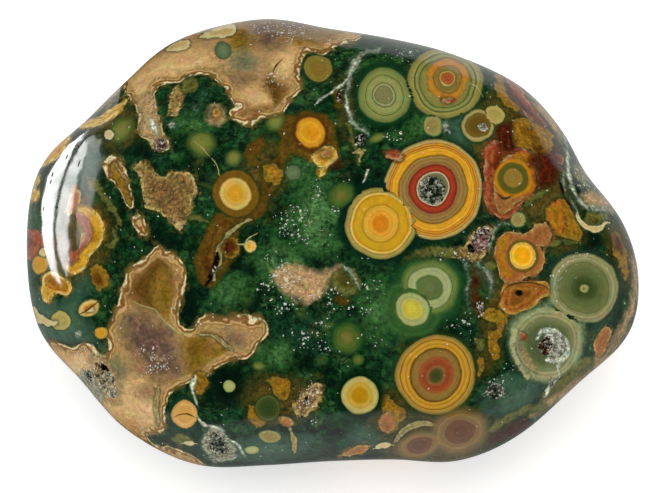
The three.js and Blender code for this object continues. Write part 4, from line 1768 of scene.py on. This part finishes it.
VUGS = (
    Vug(Druse.CREAM, (-28.3, -18.5), (1.15, 2.3), 0.9, 26, 80),
    Vug(Druse.BLACK, (-28.8, -17.3), (0.5, 0.7), 1.5, 26, 0, True),
    Vug(Druse.PINK, (-21.3, 10.9), (0.8, 0.9), 0.6, 40, 20),
    Vug(Druse.RUSTY, (-14.9, -4.9), (0.22, 1.6), 0.6, -32, 2),
    Vug(Druse.BLACK, (3.5, 11.5), (0.7, 0.8), 0.7, 0, 12),
    Vug(Druse.RUSTY, (1.0, 16.9), (0.35, 0.9), 0.5, 15, 5),
    Vug(Druse.GREEN, (12.6, 5.2), (1.6, 1.65), 0.8, 0, 70),
    Vug(Druse.PINK, (18.7, -0.9), (1.1, 1.7), 0.8, -28, 34),
    Vug(Druse.BLACK, (17.5, -2.0), (0.5, 0.6), 1.2, 0, 0, True),
    Vug(Druse.WHITE, (27.8, -14.1), (1.6, 1.55), 0.4, -30, 60),
    Vug(Druse.RUSTY, (26.9, -14.3), (1.0, 1.15), 1.0, -20, 14, True),
    Vug(Druse.WHITE, (27.5, -18.8), (0.35, 0.8), 0.6, 0, 8),
    Vug(Druse.WHITE, (18.9, 13.1), (0.55, 0.5), 0.3, 0, 8),
    Vug(Druse.GREEN, (20.6, -19.9), (1.1, 1.0), 0.5, 0, 16),
    Vug(Druse.GREEN, (-14.2, -26.6), (1.1, 1.5), 0.6, 20, 24),
    Vug(Druse.RUSTY, (-3.0, -21.0), (0.4, 0.5), 0.4, 0, 6),
    Vug(Druse.PINK, (18.7, -9.6), (0.35, 0.6), 0.4, 0, 8),
    Vug(Druse.BLACK, (-33.1, 9.4), (0.08, 0.4), 0.15, -20, 0),
    Vug(Druse.BLACK, (-34.9, 7.2), (0.1, 0.35), 0.15, -10, 0),
    Vug(Druse.BLACK, (-35.1, 6.3), (0.08, 0.3), 0.15, -15, 0),
    Vug(Druse.BLACK, (-31.6, 8.5), (0.1, 0.4), 0.15, -15, 0),
    Vug(Druse.BLACK, (-36.0, 2.9), (0.08, 0.3), 0.15, -10, 0),
    Vug(Druse.BLACK, (-34.3, 3.1), (0.07, 0.2), 0.15, 0, 0),
)


@dataclass
class PalmStone:
    """The polished stone: its skin, its pockets and its finishes.

    Attributes:
        chart: The chart of its face.
        surface: Its skin as the CAD has it.
        levels: How often its skin is subdivided.
        sink: How far a pocket's cutter is sunk, as a share of its depth.
        ragged: How far a cutter's corners stray, as a share of its size.
        crease: The least angle at which its skin looks creased, in degrees.
        map_reach: How far each half of its map reaches, as a share of the map's width.
    """

    chart: FaceChart
    surface: StoneSurface
    levels: int = 2
    sink: float = 0.25
    ragged: float = 0.12
    crease: float = 32.0
    map_reach: float = 0.46
    finishes: list[bpy.types.Material] = field(init=False)
    piece: bpy.types.Object = field(init=False)

    def build(self) -> bpy.types.Object:
        """Makes the stone's piece.

        Returns:
            The piece.
        """
        self.finishes = [PolishedJasper().make(), *(druse.value.make() for druse in Druse)]
        self.piece = self.skin()
        for inner in (False, True):
            self.open_vugs(self.cutters(inner))
        painter = FieldPainter(self.piece.data, self.surface)
        painter.paint_patches()
        painter.paint_orbs()
        self.unfold()
        pick(self.piece)
        bpy.ops.object.shade_smooth_by_angle(angle=math.radians(self.crease))
        return self.piece

    def skin(self) -> bpy.types.Object:
        """Makes the polished skin from the CAD solid.

        Returns:
            The skin, without its pockets.
        """
        pick(frame["nodes"][STONE_NODE])
        bpy.ops.object.duplicate()
        skin = bpy.context.object
        skin.name = "polished_stone"
        skin.data.name = "polished_stone"
        for key in [k for k in skin.keys() if k.startswith("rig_")]:
            del skin[key]
        pick(skin)
        bpy.ops.object.parent_clear(type="CLEAR_KEEP_TRANSFORM")
        bpy.ops.object.mode_set(mode="EDIT")
        bpy.ops.mesh.select_all(action="SELECT")
        bpy.ops.mesh.remove_doubles(threshold=0.01 * MM)
        bpy.ops.object.mode_set(mode="OBJECT")
        bpy.ops.mesh.customdata_custom_splitnormals_clear()
        skin.data.materials.clear()
        for finish in self.finishes:
            skin.data.materials.append(finish)
        rounded = skin.modifiers.new("rounded", "SUBSURF")
        rounded.levels = rounded.render_levels = self.levels
        bpy.ops.object.modifier_apply(modifier=rounded.name)
        return skin

    def cutters(self, inner: bool) -> bpy.types.Object:
        """Models what is cut out for pockets that don't overlap, as one object.

        Args:
            inner: Whether to take the pockets that open inside others, or the rest.

        Returns:
            What is cut out.
        """
        return join([self.cutter(vug, i) for i, vug in enumerate(VUGS) if vug.inner == inner])

    def open_vugs(self, cutters: bpy.types.Object) -> None:
        """Cuts the pockets into the skin, each with its druse.

        Args:
            cutters: What is cut out, which is used up.
        """
        pick(self.piece)
        cut = self.piece.modifiers.new("pockets", "BOOLEAN")
        cut.operation = "DIFFERENCE"
        cut.solver = "MANIFOLD"
        cut.object = cutters
        bpy.ops.object.modifier_apply(modifier=cut.name)
        bpy.data.objects.remove(cutters)

    def cutter(self, vug: Vug, seed: int) -> bpy.types.Object:
        """Models what is cut out for a pocket, a ragged lump set into the skin.

        Args:
            vug: The pocket.
            seed: Sets how ragged it is.

        Returns:
            The lump.
        """
        deselect_all()
        bpy.ops.mesh.primitive_ico_sphere_add(subdivisions=4, radius=1)
        lump = bpy.context.object
        bpy.ops.object.mode_set(mode="EDIT")
        bpy.ops.mesh.select_all(action="SELECT")
        bpy.ops.transform.vertex_random(offset=self.ragged, uniform=0.2, normal=0.7, seed=seed)
        bpy.ops.object.mode_set(mode="OBJECT")
        middle, out = self.surface.at(vug.place)
        lean = out.dot(self.chart.back)
        right = self.chart.right - self.chart.back * (self.chart.right.dot(out) / lean)
        up = self.chart.up - self.chart.back * (self.chart.up.dot(out) / lean)
        turn = math.radians(vug.turn)
        across = (right * math.cos(turn) + up * math.sin(turn)) * vug.half[0]
        upward = (up * math.cos(turn) - right * math.sin(turn)) * vug.half[1]
        basis = Matrix([across, upward, out * vug.depth]).transposed() * MM
        place = Matrix.Translation((middle - out * vug.depth * self.sink) * MM)
        lump.data.transform(place @ basis.to_4x4())
        for finish in self.finishes:
            lump.data.materials.append(finish)
        number = 1 + list(Druse).index(vug.druse)
        lump.data.polygons.foreach_set("material_index", [number] * len(lump.data.polygons))
        return lump

    def unfold(self) -> None:
        """Gives the skin a map for its colours: the upper half above, the lower half below."""
        mesh = self.piece.data
        low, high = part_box(STONE_NODE)
        middle = np.array((low + high) / 2)
        half = np.array((high - low) / 2)
        corners = np.empty(len(mesh.vertices) * 3, np.float32)
        mesh.vertices.foreach_get("co", corners)
        away = (corners.reshape(-1, 3) - middle) / half
        away /= np.linalg.norm(away, axis=1)[:, None]
        loops = np.empty(len(mesh.loops), np.int32)
        mesh.loops.foreach_get("vertex_index", loops)
        totals = np.empty(len(mesh.polygons), np.int32)
        mesh.polygons.foreach_get("loop_total", totals)
        starts = np.concatenate([[0], np.cumsum(totals)[:-1]])
        heights = np.add.reduceat(away[loops, 2], starts) / totals
        upper = np.repeat(heights > 0, totals)
        rise = np.where(upper, away[loops, 2], -away[loops, 2])
        flat = away[loops, :2]
        reach = np.sqrt(np.clip(1 - rise, 0, 2)) / np.maximum(np.linalg.norm(flat, axis=1), 1e-6)
        u = 0.5 + self.map_reach * flat[:, 0] * reach
        v = np.where(upper, 0.75, 0.25) + self.map_reach / 2 * flat[:, 1] * reach
        layer = mesh.uv_layers.new(name="OFBake")
        layer.data.foreach_set("uv", np.column_stack([u, v]).astype(np.float32).ravel())


@dataclass
class DruseCrystals:
    """The quartz points that stand up in the pockets.

    Attributes:
        stone: The stone with its pockets.
        surface: The stone's skin as the CAD has it.
        seed: Sets where they stand and how they lean.
        shortest: The shortest crystal, in millimetres.
        longest: The longest crystal, in millimetres.
        slimness: A crystal's length over its thickness.
        lean: How far it leans from the wall's normal, where 1 is 45 degrees.
    """

    stone: bpy.types.Object
    surface: StoneSurface
    seed: int = 11
    shortest: float = 0.2
    longest: float = 0.5
    slimness: float = 1.9
    lean: float = 0.35

    def build(self) -> bpy.types.Object:
        """Stands crystals in every pocket and joins them.

        Returns:
            The crystals, as one piece.
        """
        rng = random.Random(self.seed)
        pattern = self.crystal()
        middles = [self.surface.at(vug.place)[0] * MM for vug in VUGS]
        walls: list[list[bpy.types.MeshPolygon]] = [[] for _ in VUGS]
        for polygon in self.stone.data.polygons:
            if polygon.material_index > 0:
                gaps = [(polygon.center - middle).length for middle in middles]
                walls[gaps.index(min(gaps))].append(polygon)
        copies = []
        for vug, own in zip(VUGS, walls):
            for wall in rng.choices(own, [polygon.area for polygon in own], k=vug.points):
                copies.append(self.copy_at(pattern, wall, rng))
        bpy.data.objects.remove(pattern)
        piece = join(copies)
        piece.name = "quartz_druse"
        piece.data.name = "quartz_druse"
        return piece

    def crystal(self) -> bpy.types.Object:
        """Models one crystal: a six-sided prism that ends in a point.

        Returns:
            The crystal, of length 1 along Z.
        """
        deselect_all()
        bpy.ops.mesh.primitive_cylinder_add(vertices=6, radius=0.5, depth=1.0, location=(0, 0, 0.2))
        crystal = bpy.context.object
        crystal.name = "crystal"
        bpy.ops.object.mode_set(mode="EDIT")
        bpy.ops.mesh.select_mode(type="FACE")
        bpy.ops.mesh.select_all(action="DESELECT")
        bpy.ops.object.mode_set(mode="OBJECT")
        for polygon in crystal.data.polygons:
            polygon.select = polygon.normal.z > 0.9
        bpy.ops.object.mode_set(mode="EDIT")
        bpy.ops.mesh.extrude_region_move(TRANSFORM_OT_translate={"value": (0, 0, 0.5)})
        bpy.ops.mesh.merge(type="CENTER")
        bpy.ops.mesh.select_all(action="SELECT")
        bpy.ops.mesh.normals_make_consistent(inside=False)
        bpy.ops.object.mode_set(mode="OBJECT")
        crystal.data.transform(crystal.matrix_world)
        crystal.matrix_world = Matrix.Identity(4)
        crystal.data.materials.append(Druse.WHITE.value.make())
        return crystal

    def copy_at(
        self, pattern: bpy.types.Object, wall: bpy.types.MeshPolygon, rng: random.Random
    ) -> bpy.types.Object:
        """Stands a copy of the crystal on a pocket's wall.

        Args:
            pattern: The crystal.
            wall: The piece of wall that it grows from.
            rng: Where its size and lean come from.

        Returns:
            The copy.
        """
        copy = bpy.data.objects.new("crystal", pattern.data.copy())
        bpy.context.scene.collection.objects.link(copy)
        lean = Vector([rng.gauss(0, self.lean) for _ in range(3)])
        axis = (wall.normal + lean).normalized()
        length = rng.uniform(self.shortest, self.longest) * MM
        width = length / self.slimness * rng.uniform(0.8, 1.4)
        spin = Matrix.Rotation(rng.uniform(0, math.tau), 4, "Z")
        shape = Matrix.Diagonal((width, width, length, 1))
        turn = axis.to_track_quat("Z", "Y").to_matrix().to_4x4()
        copy.data.transform(Matrix.Translation(wall.center) @ turn @ spin @ shape)
        return copy


# ---- The studio ----


@dataclass
class Studio:
    """The floor, the soft lights and the camera.

    Attributes:
        chart: The chart of the stone's face, which the camera looks at.
        surface: The stone's skin, for aiming the softboxes at their reflections.
        lens: The camera's focal length, in millimetres.
        sensor: The width of its sensor, in millimetres.
        room: How far the camera sees, in millimetres.
        floor_size: How wide the floor is, in millimetres.
        reach: How far off the softboxes hang, in millimetres.
        flags: Where the middle of each black card is, and its width and height, in millimetres.
        softboxes: How bright each is, and the outline of its reflection on the chart.
    """

    chart: FaceChart
    surface: StoneSurface
    lens: float = 150.0
    sensor: float = 36.0
    room: float = 50000.0
    floor_size: float = 30000.0
    reach: float = 420.0
    flags: dict[str, tuple[Triple, Point]] = field(
        default_factory=lambda: {
            "near_flag": ((-26.5, 16.0, 29.5), (88.0, 71.0)),
            "far_flag": ((-26.5, 105.0, 22.5), (90.0, 85.0)),
        }
    )
    softboxes: dict[str, tuple[float, tuple[Point, ...]]] = field(
        default_factory=lambda: {
            "outer_softbox": (
                14.0,
                ((-30.9, 12.4), (-32.3, 11.2), (-34.0, 9.2), (-35.4, 6.8), (-36.2, 3.8),
                 (-36.2, 0.0), (-35.5, -3.6), (-33.8, -6.8), (-34.5, -3.0), (-34.8, 0.5),
                 (-34.5, 4.0), (-33.6, 7.0), (-32.5, 9.6), (-31.1, 11.7)),
            ),
            "inner_softbox": (
                12.5,
                ((-30.7, 11.6), (-32.2, 9.0), (-33.4, 6.2), (-34.2, 3.4), (-34.5, 0.4),
                 (-34.1, -3.0), (-33.2, -5.8), (-32.7, -3.6), (-32.9, 0.0), (-32.4, 3.6),
                 (-31.5, 7.0), (-30.5, 10.0)),
            ),
            "faint_softbox": (
                3.2,
                ((-30.0, 12.0), (-30.6, 9.0), (-31.6, 5.6), (-31.9, 2.0), (-31.6, -2.0),
                 (-30.6, -1.0), (-29.8, 4.0), (-28.8, 9.0), (-28.6, 11.6)),
            ),
        }
    )

    def build(self) -> None:
        """Sets everything up."""
        self.camera()
        self.floor()
        self.air()
        self.overhead("sky", (0, 60, 700), 620, 1.6)
        self.overhead("key", (-420, -120, 620), 320, 1.0)
        for name, (radiance, outline) in self.softboxes.items():
            self.softbox(name, outline, radiance)
        for name, (place, size) in self.flags.items():
            self.flag(name, place, size)
        bpy.context.scene.view_settings.view_transform = "Standard"

    def camera(self) -> None:
        """Stands the camera at the eye of the chart."""
        data = bpy.data.cameras.new("camera")
        data.lens = self.lens
        data.sensor_width = self.sensor
        data.clip_start = 10 * MM
        data.clip_end = self.room * MM
        camera = bpy.data.objects.new("camera", data)
        bpy.context.scene.collection.objects.link(camera)
        turn = Matrix([self.chart.right, self.chart.up, self.chart.back]).transposed()
        camera.matrix_world = Matrix.Translation(self.chart.eye * MM) @ turn.to_4x4()
        bpy.context.scene.camera = camera

    def floor(self) -> None:
        """Lays a wide pale floor."""
        deselect_all()
        bpy.ops.mesh.primitive_plane_add(size=self.floor_size * MM, location=(0, 0, 0))
        floor = bpy.context.object
        floor.name = "floor"
        material, graph = Graph.material("pale_floor")
        fleck = graph.noise(graph.metres(), 60, 4)
        pale = graph.ramp(fleck, Bands(".3:f3f2f0 .7:f7f6f4").stops, 0, 1)
        finish = {"Base Color": pale.outputs["Color"], "Roughness": 0.9, "Specular IOR Level": 0.1}
        glow = {"Emission Color": (1, 1, 1, 1), "Emission Strength": 0.5}
        graph.show(graph.node("ShaderNodeBsdfPrincipled", {**finish, **glow}))
        floor.data.materials.append(material)
        floor.visible_glossy = False

    def air(self) -> None:
        """Fills the room with pale light, and keeps it dark where the polish would mirror it."""
        world = bpy.data.worlds.new("studio")
        world.use_nodes = True
        bpy.context.scene.world = world
        graph = Graph(world.node_tree)
        graph.tree.nodes.clear()
        path = graph.node("ShaderNodeLightPath", {})
        toward = graph.node("ShaderNodeTexCoord", {}).outputs["Generated"]
        axes = graph.node("ShaderNodeSeparateXYZ", {0: toward})
        below = graph.fit(axes.outputs[2], -0.08, -0.2)
        ahead = graph.fit(graph.math("ABSOLUTE", axes.outputs[1]), 0.1, 0.8, 0.19, 0.5)
        mirrored = graph.math("MULTIPLY_ADD", below, ahead, 0.012)
        lit = graph.math("MULTIPLY", path.outputs["Is Glossy Ray"], mirrored)
        lit = graph.math("MULTIPLY_ADD", path.outputs["Is Diffuse Ray"], 0.62, lit)
        strength = graph.math("MULTIPLY_ADD", path.outputs["Is Camera Ray"], 1.0, lit)
        pale = graph.node("ShaderNodeBackground", {"Color": (1, 1, 1, 1), "Strength": strength})
        graph.node("ShaderNodeOutputWorld", {"Surface": pale.outputs[0]})

    def light(self, name: str, size: Point, radiance: float, place: Matrix) -> bpy.types.Object:
        """Hangs a rectangular light.

        Args:
            name: Its name.
            size: Its width and height, in millimetres.
            radiance: How bright its face is, where 1 would look white.
            place: Where it hangs. It shines along its own -Z.

        Returns:
            The light.
        """
        data = bpy.data.lights.new(name, "AREA")
        data.shape = "RECTANGLE"
        data.size = size[0] * MM
        data.size_y = size[1] * MM
        data.energy = radiance * math.pi * data.size * data.size_y
        lamp = bpy.data.objects.new(name, data)
        bpy.context.scene.collection.objects.link(lamp)
        lamp.matrix_world = place
        lamp.visible_camera = False
        return lamp

    def overhead(self, name: str, place: Triple, size: float, power: float) -> None:
        """Hangs a big soft light that the polish doesn't mirror.

        Args:
            name: Its name.
            place: Its middle, in millimetres.
            size: Its width and height, in millimetres.
            power: How bright its face is, where 1 would look white.
        """
        spot = Vector(place)
        turn = (self.chart.middle - spot).to_track_quat("-Z", "Y").to_matrix().to_4x4()
        lamp = self.light(name, (size, size), power, Matrix.Translation(spot * MM) @ turn)
        lamp.visible_glossy = False

    def only_mirrored(self, card: bpy.types.Object, glow: bpy.types.Material) -> None:
        """Makes something a part of the studio that only the polish sees.

        Args:
            card: The object.
            glow: Its material.
        """
        card.visible_camera = False
        card.visible_diffuse = False
        card.visible_shadow = False
        card.data.materials.append(glow)

    def flag(self, name: str, place: Triple, size: Point) -> None:
        """Stands a black card on edge that keeps the softboxes from glaring on the crown.

        Args:
            name: Its name.
            place: Its middle.
            size: Its width along Y and its height.
        """
        deselect_all()
        bpy.ops.mesh.primitive_plane_add(size=1)
        card = bpy.context.object
        card.name = name
        across = Vector((0, size[0], 0))
        upward = Vector((0, 0, size[1]))
        facing = (Matrix([across, upward, Vector((1, 0, 0))]).transposed() * MM).to_4x4()
        card.data.transform(Matrix.Translation(Vector(place) * MM) @ facing)
        black, graph = Graph.material(name)
        weave = graph.fit(graph.noise(graph.metres(), 900, 2), 0.3, 0.7, 0.010, 0.014)
        graph.show(graph.node("ShaderNodeEmission", {"Strength": weave}))
        self.only_mirrored(card, black)

    def softbox(self, name: str, outline: tuple[Point, ...], radiance: float) -> None:
        """Hangs a softbox so that its reflection fills a part of the face.

        Args:
            name: Its name.
            outline: The reflection's outline on the chart.
            radiance: How bright it is, where 1 would look white.
        """
        rays = []
        for corner in outline:
            point, out = self.surface.at(corner)
            sight = (point - self.chart.eye).normalized()
            rays.append((point, sight - out * 2 * sight.dot(out)))
        aim = sum((ray[1] for ray in rays), Vector()).normalized()
        middle = rays[0][0] + aim * self.reach
        hits = [p + r * ((middle - p).dot(aim) / r.dot(aim)) for p, r in rays]
        mesh = bpy.data.meshes.new(name)
        mesh.from_pydata([hit * MM for hit in hits], [], [range(len(hits))])
        box = bpy.data.objects.new(name, mesh)
        bpy.context.scene.collection.objects.link(box)
        glow, graph = Graph.material(name)
        along = graph.vector("MULTIPLY", {0: graph.metres(), 1: (60, 8, 8)})
        streaks = graph.fit(graph.noise(along, 1.0, 4), 0.3, 0.7, 0.7, 1.15)
        strength = graph.math("MULTIPLY", streaks, radiance)
        graph.show(graph.node("ShaderNodeEmission", {"Strength": strength}))
        self.only_mirrored(box, glow)


def main() -> None:
    """Builds the stone and its studio."""
    logging.basicConfig(level=logging.INFO, format="%(name)s: %(message)s")
    chart = FaceChart()
    surface = StoneSurface.of_node(frame["nodes"][STONE_NODE], chart)
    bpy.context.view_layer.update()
    stone = PalmStone(chart, surface).build()
    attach(stone, "root")
    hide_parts(STONE_NODE)
    LOG.info("polished_stone: %d faces", len(stone.data.polygons))
    druse = DruseCrystals(stone, surface).build()
    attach(druse, "root")
    LOG.info("quartz_druse: %d faces", len(druse.data.polygons))
    skin = StoneSurface.of_node(stone, chart)
    Studio(chart, skin).build()
    LOG.info("studio: camera, floor and lights are set up")


if __name__ == "__main__":
    main()
